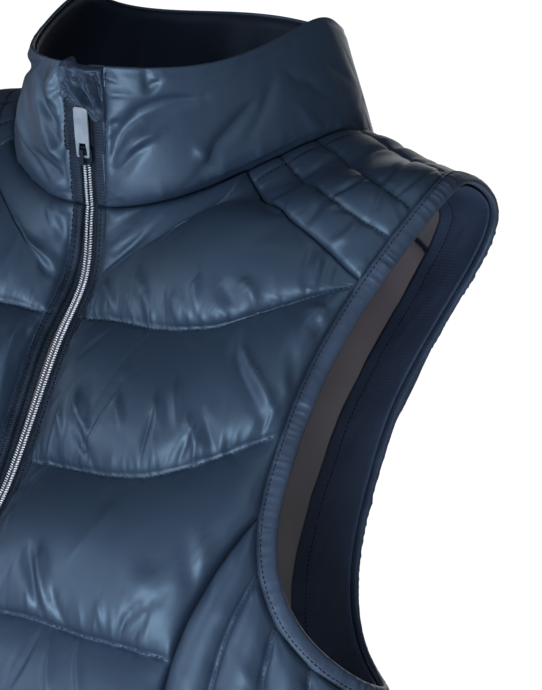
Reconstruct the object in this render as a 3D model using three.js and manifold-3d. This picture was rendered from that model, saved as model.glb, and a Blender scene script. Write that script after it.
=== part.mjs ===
// A quilted vest with a stand collar and a zip, zipped up and filled out as if worn.
// Millimetres, +Z up. The origin is the middle of the neck, level with the points where
// the neck seam crosses the shoulders. -Y is the front and +X is the wearer's left.
import * as THREE from 'three';
import { mergeVertices } from 'three/addons/utils/BufferGeometryUtils.js';
import Module from 'manifold-3d';

// Walls and gaps
const WALL = 2.0; // shell and its backing where they are stitched flat
const SEAM_GAP = 0.15; // each side of a seam keeps this far from it
const LAYER_GAP = 0.3; // between layers that lie on each other
const LINING = 1.0;
const FACING = 1.0;
const TAPE = 1.0;

// Quilting: how far the filling lifts the shell between two stitch lines
const BAFFLE_PUFF = 12;
const CHANNEL_PUFF = 7;
const YOKE_PUFF = 5;
const COLLAR_PUFF = 4.5;

// Armhole opening on the wearer's left, in turns round the body (deg) and in rings down it
const ARMHOLE = { middle: 88.1, front: 16.1, back: 26.5, level: 3.4, up: 1.7, down: 0.8, bend: 2.3 };
const BINDING_WIDTH = 9.3;
const FACING_WIDTH = 26;
const TURN_PER_MM = 0.355;
const UP_PER_MM = 0.0167;
const DOWN_PER_MM = 0.0101;

// Zip
const ZIP_EDGE = 3.4; // the panels' front edges, from the middle
const ZIP_STITCH = 8.5; // the stitch line that holds the tape
const TAPE_WIDTH = 15;
const TAPE_GAP = 0.3;
const CHAIN_WIDTH = 5.4;
const CHAIN_HEIGHT = 2.4;
const SLIDER_UP = 27; // the slider's place above the neck seam
const TAB_LENGTH = 26;

// The body's rings from the neck down. middle is the ring's centre in Y; side, front and
// back are its half sizes; frontBend and backBend are the powers of its rounded outline;
// the last three are the ring's heights at the front, the sides and the back.
const RING_COLUMNS = ['middle', 'side', 'front', 'back', 'frontBend', 'backBend', 'zFront', 'zSide', 'zBack'];
const named = (row) => Object.fromEntries(RING_COLUMNS.map((name, i) => [name, row[i]]));
const RINGS = [
  [13.6, 90.0, 100.2, 63.9, 2.05, 2.0, -74.1, 0.0, 8.0], // neck seam
  [5.8, 127.9, 83.4, 84.5, 2.3, 2.05, -107.8, -14.5, -30.0],
  [-14.2, 176.5, 77.7, 104.0, 2.5, 2.0, -148.4, -35.0, -90.6], // shoulder points
  [-41.3, 168.7, 64.0, 118.0, 2.6, 1.7, -217.1, -137.7, -168.0],
  [-64.1, 185.5, 62.1, 120.0, 2.6, 1.7, -267.1, -251.6, -262.0],
  [-52.0, 207.0, 70.0, 116.0, 2.6, 2.1, -347.0, -345.0, -345.0], // under the armholes
  [-46.0, 202.0, 68.0, 108.0, 2.5, 2.3, -440.0, -440.0, -440.0], // waist
  [-42.0, 209.0, 74.0, 116.0, 2.4, 2.3, -540.0, -540.0, -540.0], // hip
  [-40.0, 220.0, 82.0, 126.0, 2.4, 2.3, -640.0, -640.0, -640.0], // hem
].map(named);
const HEM = RINGS.length - 1;
const COLLAR_TOP = named([-7.4, 67.9, 120.3, 62.6, 2.1, 2.0, -15.7, 51.5, 66.9]);

// The front's stitch lines, as rings down at five even places from the zip to the outer edge
const FRONT_LINES = [
  [1.60, 1.92, 2.32, 2.57, 2.60],
  [2.78, 2.95, 3.22, 3.38, 3.20],
  [4.11, 4.15, 4.19, 4.24, 4.28],
  [5.05, 5.05, 5.05, 5.05, 5.05],
  [5.85, 5.85, 5.85, 5.85, 5.85],
  [6.60, 6.60, 6.60, 6.60, 6.60],
  [7.33, 7.33, 7.33, 7.33, 7.33],
  [8.00, 8.00, 8.00, 8.00, 8.00],
];
// The back's stitch lines, at the middle of the back and at its outer edges
const BACK_LINES = [
  { middle: 1.55, edge: 2.40 },
  { middle: 2.60, edge: 3.05 },
  { middle: 3.47, edge: 3.75 },
  { middle: 4.30, edge: 4.38 },
  { middle: 5.17, edge: 5.17 },
  { middle: 5.95, edge: 5.95 },
  { middle: 6.65, edge: 6.65 },
  { middle: 7.35, edge: 7.35 },
  { middle: 8.00, edge: 8.00 },
];
const STEPS_PER_BAFFLE = 3;

// Yoke stitch lines run from the neck seam to the armhole. neck is a turn (deg) on the neck
// seam, arm is a turn of the armhole's own outline, 0 at its back, 90 at its top.
const YOKE_LINES = [
  { neck: 41.2, arm: 153.8 },
  { neck: 50.5, arm: 146.8 },
  { neck: 62.0, arm: 137.0 },
  { neck: 80.0, arm: 112.0 },
  { neck: 97.0, arm: 80.0 },
  { neck: 112.0, arm: 58.0 },
  { neck: 125.0, arm: 45.0 },
  { neck: 138.0, arm: 35.2 },
];
const YOKE_STEPS = [0, 0.07, 0.26, 0.45, 0.64, 0.83, 1];
const NECK_COLUMNS = [ZIP_EDGE, ZIP_STITCH]; // the first two columns stand beside the zip, in mm
const FRONT_NECK = [19, 30, 41.2]; // the next ones, in deg
const BACK_NECK = [138, 152, 166, 180];

// Side panel: its upright channels start on the armhole's lower edge
const SIDE = { frontHem: 55, backHem: 107, channels: 8, settle: 1.05 };
const FRONT_SEAM_STEP = 7; // the side seams start at these steps of the front and the back
const BACK_SEAM_STEP = 10;

const rad = THREE.MathUtils.degToRad;
const deg = THREE.MathUtils.radToDeg;
const mix = THREE.MathUtils.lerp;
const signedPower = (value, power) => Math.sign(value) * Math.abs(value) ** power;

// A ring between two rows of the table, on one smooth curve down the body
function ringAt(level) {
  const last = RINGS.length - 1;
  const index = Math.min(Math.max(Math.floor(level), 0), last - 1);
  const t = level - index;
  const before = RINGS[Math.max(index - 1, 0)];
  const after = RINGS[Math.min(index + 2, last)];
  const from = RINGS[index];
  const to = RINGS[index + 1];
  const ring = {};
  for (const key of Object.keys(from)) {
    const slopeFrom = index > 0 ? (to[key] - before[key]) / 2 : to[key] - from[key];
    const slopeTo = index < last - 1 ? (after[key] - from[key]) / 2 : to[key] - from[key];
    const a = 2 * t ** 3 - 3 * t ** 2 + 1;
    const b = t ** 3 - 2 * t ** 2 + t;
    const c = 3 * t ** 2 - 2 * t ** 3;
    const d = t ** 3 - t ** 2;
    ring[key] = a * from[key] + b * slopeFrom + c * to[key] + d * slopeTo;
  }
  return ring;
}

function ringPoint(ring, turn) {
  const c = Math.cos(rad(turn));
  const s = Math.sin(rad(turn));
  const depth = c >= 0 ? ring.front : ring.back;
  const bend = c >= 0 ? ring.frontBend : ring.backBend;
  const reach = (Math.abs(c / depth) ** bend + Math.abs(s / ring.side) ** bend) ** (-1 / bend);
  const zEnd = c >= 0 ? ring.zFront : ring.zBack;
  return new THREE.Vector3(reach * s, ring.middle - reach * c, mix(ring.zSide, zEnd, c * c));
}

const bodyPoint = (turn, level) => ringPoint(ringAt(level), turn);
const collarPoint = (turn, up) => ringPoint(RINGS[0], turn).lerp(ringPoint(COLLAR_TOP, turn), up);

function normalOf(point, turn, level, downward) {
  const across = point(turn + 1, level).sub(point(turn - 1, level));
  const low = Math.max(level - 0.04, 0);
  const along = point(turn, level + 0.04).sub(point(turn, low));
  return along.cross(across).multiplyScalar(downward).normalize();
}

// Body and collar share one direction on the neck seam, so their edges lie side by side
function neckNormal(turn) {
  return normalOf(bodyPoint, turn, 0, 1).add(normalOf(collarPoint, turn, 0, -1)).normalize();
}
const bodyNormal = (turn, level) => (level < 0.001 ? neckNormal(turn) : normalOf(bodyPoint, turn, level, 1));
const collarNormal = (turn, up) => (up < 0.001 ? neckNormal(turn) : normalOf(collarPoint, turn, up, -1));

// The turn that lies a given distance from the middle of the front
const turnAt = (x, level) => deg(Math.atan2(x, ringAt(level).front));
const collarTurnAt = (x, up) => deg(Math.atan2(x, mix(RINGS[0].front, COLLAR_TOP.front, up)));

// A place on the armhole's outline, grown outwards by some millimetres
function armhole(angle, grow) {
  const c = signedPower(Math.cos(rad(angle)), 2 / ARMHOLE.bend);
  const s = signedPower(Math.sin(rad(angle)), 2 / ARMHOLE.bend);
  const across = (c > 0 ? ARMHOLE.back : ARMHOLE.front) + grow * TURN_PER_MM;
  const along = s > 0 ? ARMHOLE.up + grow * UP_PER_MM : ARMHOLE.down + grow * DOWN_PER_MM;
  return { turn: ARMHOLE.middle + across * c, level: ARMHOLE.level - along * s };
}

// The armhole angle where its panel edge crosses a level, on the front or the back half
function armholeAngle(level, half) {
  const rise = ARMHOLE.level - level;
  const above = ARMHOLE.up + BINDING_WIDTH * UP_PER_MM;
  const below = ARMHOLE.down + BINDING_WIDTH * DOWN_PER_MM;
  const sine = Math.min(Math.abs(rise / (rise > 0 ? above : below)), 1) ** (ARMHOLE.bend / 2);
  const angle = deg(Math.asin(sine)) * Math.sign(rise);
  return half === 'back' ? angle : 180 - angle;
}

// Five values spread evenly over 0 to 1, joined by straight stretches
function along(values, t) {
  const place = t * (values.length - 1);
  const index = Math.min(Math.floor(place), values.length - 2);
  return mix(values[index], values[index + 1], place - index);
}

// A closed wall between two equal grids of points
function wallGeometry(outer, inner) {
  const rows = outer.length;
  const columns = outer[0].length;
  const end = columns - 1;
  const points = [...outer.flat(), ...inner.flat()];
  const at = (side, row, column) => (side * rows + row) * columns + column;
  const faces = [];
  // Each quad is cut along its shorter diagonal, so layers that follow each other match
  const quad = (a, b, c, d) => {
    const even = points[a].distanceTo(points[c]) < points[b].distanceTo(points[d]);
    faces.push(...(even ? [a, b, c, a, c, d] : [b, c, d, b, d, a]));
  };
  for (let r = 0; r < rows - 1; r += 1) {
    for (let c = 0; c < columns - 1; c += 1) {
      quad(at(0, r, c), at(0, r + 1, c), at(0, r + 1, c + 1), at(0, r, c + 1));
      quad(at(1, r, c), at(1, r, c + 1), at(1, r + 1, c + 1), at(1, r + 1, c));
    }
    quad(at(0, r, 0), at(1, r, 0), at(1, r + 1, 0), at(0, r + 1, 0));
    quad(at(0, r + 1, end), at(1, r + 1, end), at(1, r, end), at(0, r, end));
  }
  for (let c = 0; c < columns - 1; c += 1) {
    quad(at(0, 0, c + 1), at(1, 0, c + 1), at(1, 0, c), at(0, 0, c));
    quad(at(0, rows - 1, c), at(1, rows - 1, c), at(1, rows - 1, c + 1), at(0, rows - 1, c + 1));
  }
  return closedGeometry(points, faces);
}

// A closed loop swept round a closed path: sections is a list of equal closed outlines
function ringGeometry(sections) {
  const count = sections.length;
  const corners = sections[0].length;
  const faces = [];
  for (let i = 0; i < count; i += 1) {
    for (let k = 0; k < corners; k += 1) {
      const next = ((i + 1) % count) * corners;
      const corner = (k + 1) % corners;
      faces.push(i * corners + k, next + k, next + corner);
      faces.push(i * corners + k, next + corner, i * corners + corner);
    }
  }
  return closedGeometry(sections.flat(), faces);
}

// Faces are turned so that they point out of the solid
function closedGeometry(points, faces) {
  let volume = 0;
  for (let i = 0; i < faces.length; i += 3) {
    const [a, b, c] = [points[faces[i]], points[faces[i + 1]], points[faces[i + 2]]];
    volume += a.dot(new THREE.Vector3().crossVectors(b, c));
  }
  if (volume < 0) faces.reverse();
  const geometry = new THREE.BufferGeometry();
  const numbers = points.flatMap((point) => point.toArray());
  geometry.setAttribute('position', new THREE.Float32BufferAttribute(numbers, 3));
  geometry.setIndex(faces);
  geometry.computeVertexNormals();
  return geometry;
}

// Border points step back from the seam towards the next point of the grid
function trimmed(grid, gaps) {
  const rows = grid.length;
  const columns = grid[0].length;
  const result = grid.map((row) => row.map((cell) => ({ ...cell, point: cell.point.clone() })));
  const step = (cell, from, towards, gap) => {
    cell.point.addScaledVector(towards.point.clone().sub(from.point).normalize(), gap);
  };
  for (let r = 0; r < rows; r += 1) {
    step(result[r][0], grid[r][0], grid[r][1], gaps.first);
    step(result[r][columns - 1], grid[r][columns - 1], grid[r][columns - 2], gaps.last);
  }
  for (let c = 0; c < columns; c += 1) {
    step(result[0][c], grid[0][c], grid[1][c], gaps.top);
    step(result[rows - 1][c], grid[rows - 1][c], grid[rows - 2][c], gaps.bottom);
  }
  return result;
}

// A wall over a grid of places { point, normal, puff }: raised outside, plain inside
function panelGeometry(grid, gaps, inside = 0, thickness = WALL) {
  const cells = trimmed(grid, gaps);
  const lifted = (cell, height) => cell.point.clone().addScaledVector(cell.normal, height);
  const outer = cells.map((row) => row.map((cell) => lifted(cell, inside + thickness + (cell.puff ?? 0))));
  const inner = cells.map((row) => row.map((cell) => lifted(cell, inside)));
  return wallGeometry(outer, inner);
}

const bodyCell = (turn, level, puff = 0) => ({
  point: bodyPoint(turn, level), normal: bodyNormal(turn, level), puff, turn, level,
});
const collarCell = (turn, up, puff = 0) => ({
  point: collarPoint(turn, up), normal: collarNormal(turn, up), puff, turn, up,
});
const SEAMS = { first: SEAM_GAP, last: SEAM_GAP, top: SEAM_GAP, bottom: SEAM_GAP };

// Mirrored copies for the wearer's right keep their faces pointing out
function mirrored(geometry) {
  const copy = geometry.clone();
  copy.scale(-1, 1, 1);
  const index = copy.getIndex();
  for (let i = 0; i < index.count; i += 3) {
    const keep = index.getX(i);
    index.setX(i, index.getX(i + 2));
    index.setX(i + 2, keep);
  }
  copy.computeVertexNormals();
  return copy;
}

// Yoke: a place a share of the way from the neck seam to the armhole
function yokePlace(line, share) {
  const end = armhole(line.arm, BINDING_WIDTH);
  const reach = 1 - (1 - share) ** 0.6;
  return { turn: mix(line.neck, end.turn, reach), level: end.level * (1 - (1 - reach) ** 2.15) };
}
const YOKE_COLUMNS = YOKE_LINES.flatMap((line, i) => {
  if (i === 0) return [line];
  const previous = YOKE_LINES[i - 1];
  return [{ neck: mix(previous.neck, line.neck, 0.5), arm: mix(previous.arm, line.arm, 0.5) }, line];
});

function yokeGrid() {
  return YOKE_STEPS.map((share, r) => YOKE_COLUMNS.map((line, c) => {
    const raised = r > 1 && r < YOKE_STEPS.length - 1 && c % 2 === 1;
    const place = yokePlace(line, share);
    return bodyCell(place.turn, place.level, raised ? YOKE_PUFF : 0);
  }));
}

// Side seams leave the armhole steeply and then run down to the hem
function seamTurn(start, hem, level) {
  return hem + (start.turn - hem) * Math.exp(-(level - start.level) / SIDE.settle);
}

// The steps down a panel: its stitch lines with even steps between them
function panelLevels(top, lines, t) {
  const levels = [top];
  let previous = top;
  for (const line of lines) {
    const next = line(t);
    for (let k = 1; k <= STEPS_PER_BAFFLE; k += 1) levels.push(mix(previous, next, k / STEPS_PER_BAFFLE));
    previous = next;
  }
  return levels;
}

const FRONT_TOP = [
  ...NECK_COLUMNS.map((x) => ({ turn: turnAt(x, 0), level: 0 })),
  ...FRONT_NECK.map((turn) => ({ turn, level: 0 })),
  ...YOKE_STEPS.slice(1).map((share) => yokePlace(YOKE_LINES[0], share)),
];
const FRONT_COLUMNS = FRONT_TOP.length;
const frontEdgeLevels = panelLevels(FRONT_TOP.at(-1).level, FRONT_LINES.map((line) => () => line.at(-1)), 1);
const backEdgeLevels = panelLevels(
  yokePlace(YOKE_LINES.at(-1), 1).level,
  BACK_LINES.map((line) => () => line.edge),
  1,
);

// The outer edge of a panel: the armhole first, then the side seam
function outerEdge(levels, seamStep, half, hem) {
  const start = armhole(armholeAngle(levels[seamStep], half), BINDING_WIDTH);
  return levels.map((level, r) => {
    if (r <= seamStep) return armhole(armholeAngle(level, half), BINDING_WIDTH);
    return { turn: seamTurn(start, hem, level), level };
  });
}
const FRONT_EDGE = outerEdge(frontEdgeLevels, FRONT_SEAM_STEP, 'front', SIDE.frontHem);
const BACK_EDGE = outerEdge(backEdgeLevels, BACK_SEAM_STEP, 'back', SIDE.backHem);

const baffleHeight = (row) => (row % STEPS_PER_BAFFLE === 0 ? 0 : 1);

function frontGrid() {
  return FRONT_EDGE.map((edge, r) => {
    const cells = [];
    for (let c = 0; c < FRONT_COLUMNS; c += 1) {
      const t = c / (FRONT_COLUMNS - 1);
      const top = FRONT_TOP[c];
      const level = panelLevels(top.level, FRONT_LINES.map((line) => (s) => along(line, s)), t)[r];
      let turn = top.turn;
      if (c < NECK_COLUMNS.length) {
        turn = turnAt(NECK_COLUMNS[c], level);
      } else {
        // Below the top row the columns spread evenly from the zip to the edge
        const from = turnAt(ZIP_STITCH, level);
        const share = (c - 1) / (FRONT_COLUMNS - 2);
        const settle = Math.min(r / STEPS_PER_BAFFLE, 1);
        turn = mix(top.turn, mix(from, edge.turn, share), settle);
      }
      const last = c === FRONT_COLUMNS - 1;
      const place = last ? edge : { turn, level };
      const flat = c < NECK_COLUMNS.length || last;
      const short = r < STEPS_PER_BAFFLE ? 1 - t * 0.6 : 1;
      cells.push(bodyCell(place.turn, place.level, flat ? 0 : BAFFLE_PUFF * baffleHeight(r) * short));
    }
    return cells;
  });
}

// The back is one piece, from one side seam round to the other
function backGrid() {
  const seam = YOKE_STEPS.slice(1).reverse().map((share) => yokePlace(YOKE_LINES.at(-1), share));
  const half = [...seam, ...BACK_NECK.map((turn) => ({ turn, level: 0 }))];
  const count = half.length;
  return BACK_EDGE.map((edge, r) => {
    const cells = half.map((top, c) => {
      const t = c / (count - 1);
      const lines = BACK_LINES.map((line) => (s) => mix(line.edge, line.middle, Math.sin(rad(90 * s))));
      const level = panelLevels(top.level, lines, t)[r];
      const settle = Math.min(r / STEPS_PER_BAFFLE, 1);
      const turn = mix(top.turn, mix(edge.turn, 180, t), settle);
      const place = c === 0 ? edge : { turn, level };
      const short = r < STEPS_PER_BAFFLE ? 0.4 + t * 0.6 : 1;
      return bodyCell(place.turn, place.level, c === 0 ? 0 : BAFFLE_PUFF * baffleHeight(r) * short);
    });
    const other = cells.slice(0, -1).reverse();
    return [...cells, ...other.map((cell) => bodyCell(360 - cell.turn, cell.level, cell.puff))];
  });
}

function sideGrid() {
  const from = armholeAngle(frontEdgeLevels[FRONT_SEAM_STEP], 'front');
  const to = armholeAngle(backEdgeLevels[BACK_SEAM_STEP], 'back') + 360;
  const columns = SIDE.channels * 2;
  const rows = FRONT_EDGE.length - 1 - FRONT_SEAM_STEP;
  const grid = [];
  for (let r = 0; r <= rows; r += 1) {
    const front = FRONT_EDGE[FRONT_SEAM_STEP + r];
    const back = BACK_EDGE[BACK_SEAM_STEP + r];
    const cells = [];
    for (let c = 0; c <= columns; c += 1) {
      const t = c / columns;
      const top = armhole(mix(from, to, t), BINDING_WIDTH);
      const hem = mix(SIDE.frontHem, SIDE.backHem, t);
      const share = r / rows;
      const even = mix(front.level, back.level, t);
      const level = mix(top.level + (HEM - top.level) * share, even, share);
      let place = { turn: seamTurn(top, hem, level), level };
      if (c === 0) place = front;
      if (c === columns) place = back;
      const raised = c % 2 === 1 && r > 0;
      cells.push(bodyCell(place.turn, place.level, raised ? CHANNEL_PUFF : 0));
    }
    grid.push(cells);
  }
  return grid;
}

// Collar rows from the neck seam up: how far the filling lifts it outside
const COLLAR_ROWS = [
  { up: 0.0, lift: 0.0 },
  { up: 0.1, lift: 0.45 },
  { up: 0.3, lift: 0.9 },
  { up: 0.55, lift: 1.0 },
  { up: 0.8, lift: 0.8 },
  { up: 0.95, lift: 0.4 },
  { up: 1.0, lift: 0.1 },
];
const COLLAR_STITCH = 12; // the collar's flat border beside the zip, at its top

function collarGrid() {
  const yoke = YOKE_COLUMNS.slice(1).map((line) => line.neck);
  const turns = [...FRONT_NECK, ...yoke, ...BACK_NECK.slice(1)];
  const back = turns.slice(0, -1).reverse().map((turn) => 360 - turn);
  return COLLAR_ROWS.map(({ up, lift }) => {
    const edge = collarTurnAt(ZIP_EDGE, up);
    const stitch = collarTurnAt(mix(ZIP_STITCH, COLLAR_STITCH, up), up);
    const row = [edge, stitch, ...turns, ...back, 360 - stitch, 360 - edge];
    return row.map((turn, c) => {
      const flat = c < 2 || c > row.length - 3;
      return collarCell(turn, up, flat ? 0 : COLLAR_PUFF * lift);
    });
  });
}

// A grid that keeps only some rows and columns of another
const thinned = (grid, rows, columns) => rows.map((r) => columns.map((c) => ({ ...grid[r][c], puff: 0 })));
const everyOther = (count) => [...Array(count).keys()].filter((i) => i % 2 === 0);

// The armhole angles of all panel edges, once round the opening
function armholeAngles() {
  const angles = (levels, seamStep, half) => levels.slice(0, seamStep + 1).map((level) => armholeAngle(level, half));
  const front = angles(frontEdgeLevels, FRONT_SEAM_STEP, 'front');
  const back = angles(backEdgeLevels, BACK_SEAM_STEP, 'back').reverse();
  const columns = SIDE.channels * 2;
  const shares = [...Array(columns - 1).keys()].map((i) => (i + 1) / columns);
  const under = shares.map((share) => mix(front.at(-1), back[0] + 360, share));
  const yoke = YOKE_COLUMNS.slice(1, -1).map((line) => line.arm).reverse();
  return [...front, ...under, ...back, ...yoke];
}

// The binding's outline across the armhole's edge: share of its width, and height
const BINDING_OUTLINE = [
  { share: 0.98, height: 0.0 },
  { share: 0.98, height: 2.2 },
  { share: 0.5, height: 3.6 },
  { share: 0.1, height: 2.6 },
  { share: 0.0, height: 0.9 },
  { share: 0.3, height: -0.6 },
];
function bindingGeometry() {
  return ringGeometry(armholeAngles().map((angle) => BINDING_OUTLINE.map(({ share, height }) => {
    const place = armhole(angle, BINDING_WIDTH * share);
    return bodyPoint(place.turn, place.level).addScaledVector(bodyNormal(place.turn, place.level), height);
  })));
}

function facingGeometry() {
  const depth = -(LAYER_GAP * 6 + LINING);
  const widths = [BINDING_WIDTH + 0.3, BINDING_WIDTH + FACING_WIDTH / 2, BINDING_WIDTH + FACING_WIDTH];
  return ringGeometry(armholeAngles().map((angle) => {
    const point = (grow, height) => {
      const place = armhole(angle, grow);
      const normal = bodyNormal(place.turn, place.level);
      return bodyPoint(place.turn, place.level).addScaledVector(normal, height);
    };
    const outer = widths.map((grow) => point(grow, depth));
    const inner = widths.map((grow) => point(grow, depth - FACING)).reverse();
    return [...outer, ...inner];
  }));
}

// The zip's line from the hem up, on the same steps as the front's edge, then up the collar
const collarHeight = collarPoint(0, 1).distanceTo(collarPoint(0, 0));
const zipLevels = panelLevels(0, FRONT_LINES.map((line) => () => line[0]), 0);
function chainGrid(top) {
  const sides = [-CHAIN_WIDTH / 2, CHAIN_WIDTH / 2];
  const bodyRow = (level) => sides.map((x) => bodyCell(turnAt(x, level), level));
  const collarRow = (up) => sides.map((x) => collarCell(collarTurnAt(x, up), up));
  const ups = COLLAR_ROWS.map((row) => row.up).filter((up) => up < top);
  return [...zipLevels.slice(1).reverse().map(bodyRow), ...[...ups, top].map(collarRow)];
}

// The tape lies behind the first columns of the front and the collar, thinner at its edge
function tapeRow(row, first) {
  const [edge, stitch, next] = row;
  const share = (TAPE_WIDTH - ZIP_STITCH) / stitch.point.distanceTo(next.point);
  const last = {
    point: stitch.point.clone().lerp(next.point, share),
    normal: stitch.normal.clone().lerp(next.normal, share).normalize(),
    puff: -TAPE / 2,
  };
  return [...[first, edge, stitch].map((cell) => ({ ...cell, puff: 0 })), last];
}
function tapeGrid(front, collar) {
  const body = front.slice(1).reverse().map((row) => {
    const { level } = row[0];
    return tapeRow(row, bodyCell(turnAt(TAPE_GAP, level), level));
  });
  const above = collar.slice(0, -1).map((row) => {
    const { up } = row[0];
    return tapeRow(row, collarCell(collarTurnAt(TAPE_GAP, up), up));
  });
  return [...body, ...above];
}
const NO_GAPS = { first: 0, last: 0, top: 0, bottom: 0 };

// The slider and its tab have a frame of their own: x across, y up the zip, z out
const sliderBase = collarPoint(0, SLIDER_UP / collarHeight);
const zipOut = collarNormal(0, SLIDER_UP / collarHeight);
const zipUp = collarPoint(0, 1).sub(collarPoint(0, 0)).normalize();
const sliderFrame = new THREE.Matrix4()
  .makeBasis(new THREE.Vector3(1, 0, 0), zipUp, zipOut)
  .setPosition(sliderBase);

const SLIDER = { length: 9.4, width: 8.2, neck: 5.8, low: 0.1, plate: 2.4, top: 3.5 };
const BRIDGE = { width: 2.0, reach: 3.9, foot: 1.2, under: 5.3, top: 6.4 };
const PIVOT = { height: 4.4, radius: 0.6 };
const TAB = {
  width: 7.5, neckWidth: 7.0, thickness: 1.0, shoulder: 11, corner: 2.2,
  windowStart: 0.6, windowEnd: 9.0, arm: 1.6, endArm: 2.5,
};

// A flat outline pushed out along z
function plate(outline, from, to, holes = []) {
  const shape = new THREE.Shape(outline.map(([x, y]) => new THREE.Vector2(x, y)));
  for (const hole of holes) shape.holes.push(new THREE.Path(hole.map(([x, y]) => new THREE.Vector2(x, y))));
  const geometry = new THREE.ExtrudeGeometry(shape, { depth: to - from, bevelEnabled: false });
  return geometry.translate(0, 0, from);
}

// Pieces of one solid, joined
async function joined(parts) {
  const wasm = await Module();
  wasm.setup();
  const solids = parts.map((part) => {
    const bare = part.clone();
    bare.deleteAttribute('normal');
    bare.deleteAttribute('uv');
    const merged = mergeVertices(bare, 1e-5);
    return new wasm.Manifold(new wasm.Mesh({
      numProp: 3,
      vertProperties: new Float32Array(merged.getAttribute('position').array),
      triVerts: new Uint32Array(merged.getIndex().array),
    }));
  });
  const mesh = solids.reduce((sum, solid) => sum.add(solid)).getMesh();
  const geometry = new THREE.BufferGeometry();
  geometry.setAttribute('position', new THREE.Float32BufferAttribute(mesh.vertProperties, 3));
  geometry.setIndex([...mesh.triVerts]);
  geometry.computeVertexNormals();
  return geometry;
}

function box(x, y, z) {
  const size = [x[1] - x[0], y[1] - y[0], z[1] - z[0]];
  return new THREE.BoxGeometry(...size).translate((x[0] + x[1]) / 2, (y[0] + y[1]) / 2, (z[0] + z[1]) / 2);
}

// The slider's front plate, the neck that runs between the panels, and a bridge for the tab
async function sliderGeometry() {
  const half = SLIDER.length / 2;
  const wide = SLIDER.width / 2;
  const outline = [
    [-wide * 0.7, -half], [wide * 0.7, -half], [wide, -half * 0.4], [wide, half * 0.7],
    [wide * 0.6, half], [-wide * 0.6, half], [-wide, half * 0.7], [-wide, -half * 0.4],
  ];
  const sink = 0.2; // the feet stand this far into the plate
  const across = [-BRIDGE.width / 2, BRIDGE.width / 2];
  const geometry = await joined([
    plate(outline, SLIDER.plate, SLIDER.top),
    box([-SLIDER.neck / 2, SLIDER.neck / 2], [-half * 0.9, half * 0.9], [SLIDER.low, SLIDER.plate + sink]),
    box(across, [BRIDGE.reach - BRIDGE.foot, BRIDGE.reach], [SLIDER.top - sink, BRIDGE.top]),
    box(across, [-BRIDGE.reach, BRIDGE.foot - BRIDGE.reach], [SLIDER.top - sink, BRIDGE.top]),
    box(across, [-BRIDGE.reach, BRIDGE.reach], [BRIDGE.under, BRIDGE.top]),
  ]);
  return geometry.applyMatrix4(sliderFrame);
}

function pullTabGeometry() {
  const half = TAB.width / 2;
  const neck = TAB.neckWidth / 2;
  const low = -PIVOT.radius;
  const inset = half - TAB.corner;
  const straight = TAB_LENGTH - TAB.corner;
  const outline = [
    [-neck, low], [neck, low], [half, TAB.shoulder], [half, straight], [inset, TAB_LENGTH],
    [-inset, TAB_LENGTH], [-half, straight], [-half, TAB.shoulder],
  ];
  const hole = [
    [neck - TAB.arm, TAB.windowStart], [TAB.arm - neck, TAB.windowStart],
    [TAB.endArm - half, TAB.windowEnd], [half - TAB.endArm, TAB.windowEnd],
  ];
  const from = PIVOT.height - TAB.thickness / 2;
  return plate(outline, from, from + TAB.thickness, [hole]).applyMatrix4(sliderFrame);
}

// Folded cloth over the top of the zip: rows from the collar's top down, with its two lower
// corners hanging beside the tab
const GUARD = {
  half: 10.8, top: 70.6, middleEnd: 54.2, sideEnd: 46.5, notch: 5.2, low: 2.5, rise: 2.2, thick: 1.4,
};
const GUARD_ACROSS = [-1, -0.72, -0.48, -0.2, 0.12, 0.48, 0.72, 1];
const GUARD_ROWS = 6;
function guardGeometry() {
  const grid = [];
  for (let r = 0; r <= GUARD_ROWS; r += 1) {
    grid.push(GUARD_ACROSS.map((share, c) => {
      const x = GUARD.half * share;
      const end = Math.abs(x) > GUARD.notch ? GUARD.sideEnd : GUARD.middleEnd;
      const up = mix(GUARD.top, end, r / GUARD_ROWS) / collarHeight;
      const cell = collarCell(collarTurnAt(x, up), up);
      const fold = (r + c) % 2 === 0 ? GUARD.rise : 0;
      const border = r === 0 || c === 0 || c === GUARD_ACROSS.length - 1;
      return { ...cell, puff: border ? 0 : fold };
    }));
  }
  return panelGeometry(grid, NO_GAPS, GUARD.low, GUARD.thick);
}

// Colours as [red, green, blue] in hex with roughness and metalness
const MATERIALS = {
  shell: { color: 0x1b2742, roughness: 0.38, metalness: 0.0 },
  facing: { color: 0x161e33, roughness: 0.6, metalness: 0.0 },
  lining: { color: 0x8d8a88, roughness: 0.7, metalness: 0.0 },
  binding: { color: 0x141b2e, roughness: 0.55, metalness: 0.0 },
  tape: { color: 0x10131c, roughness: 0.8, metalness: 0.0 },
  teeth: { color: 0xc9ccd2, roughness: 0.3, metalness: 0.8 },
  metal: { color: 0xbfc2c6, roughness: 0.28, metalness: 1.0 },
  slider: { color: 0x1a1f2c, roughness: 0.35, metalness: 0.6 },
};

const group = new THREE.Group();
function add(name, geometry, look) {
  const mesh = new THREE.Mesh(geometry, new THREE.MeshStandardMaterial(MATERIALS[look]));
  mesh.name = name;
  group.add(mesh);
}
function addPair(name, geometry, look) {
  add(`${name}_left`, geometry, look);
  add(`${name}_right`, mirrored(geometry), look);
}

const front = frontGrid();
addPair('front', panelGeometry(front, { ...SEAMS, first: 0, bottom: 0 }), 'shell');
addPair('yoke', panelGeometry(yokeGrid(), SEAMS), 'shell');
addPair('side', panelGeometry(sideGrid(), { ...SEAMS, bottom: 0 }), 'shell');
const back = backGrid();
add('back', panelGeometry(back, { ...SEAMS, bottom: 0 }), 'shell');

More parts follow.
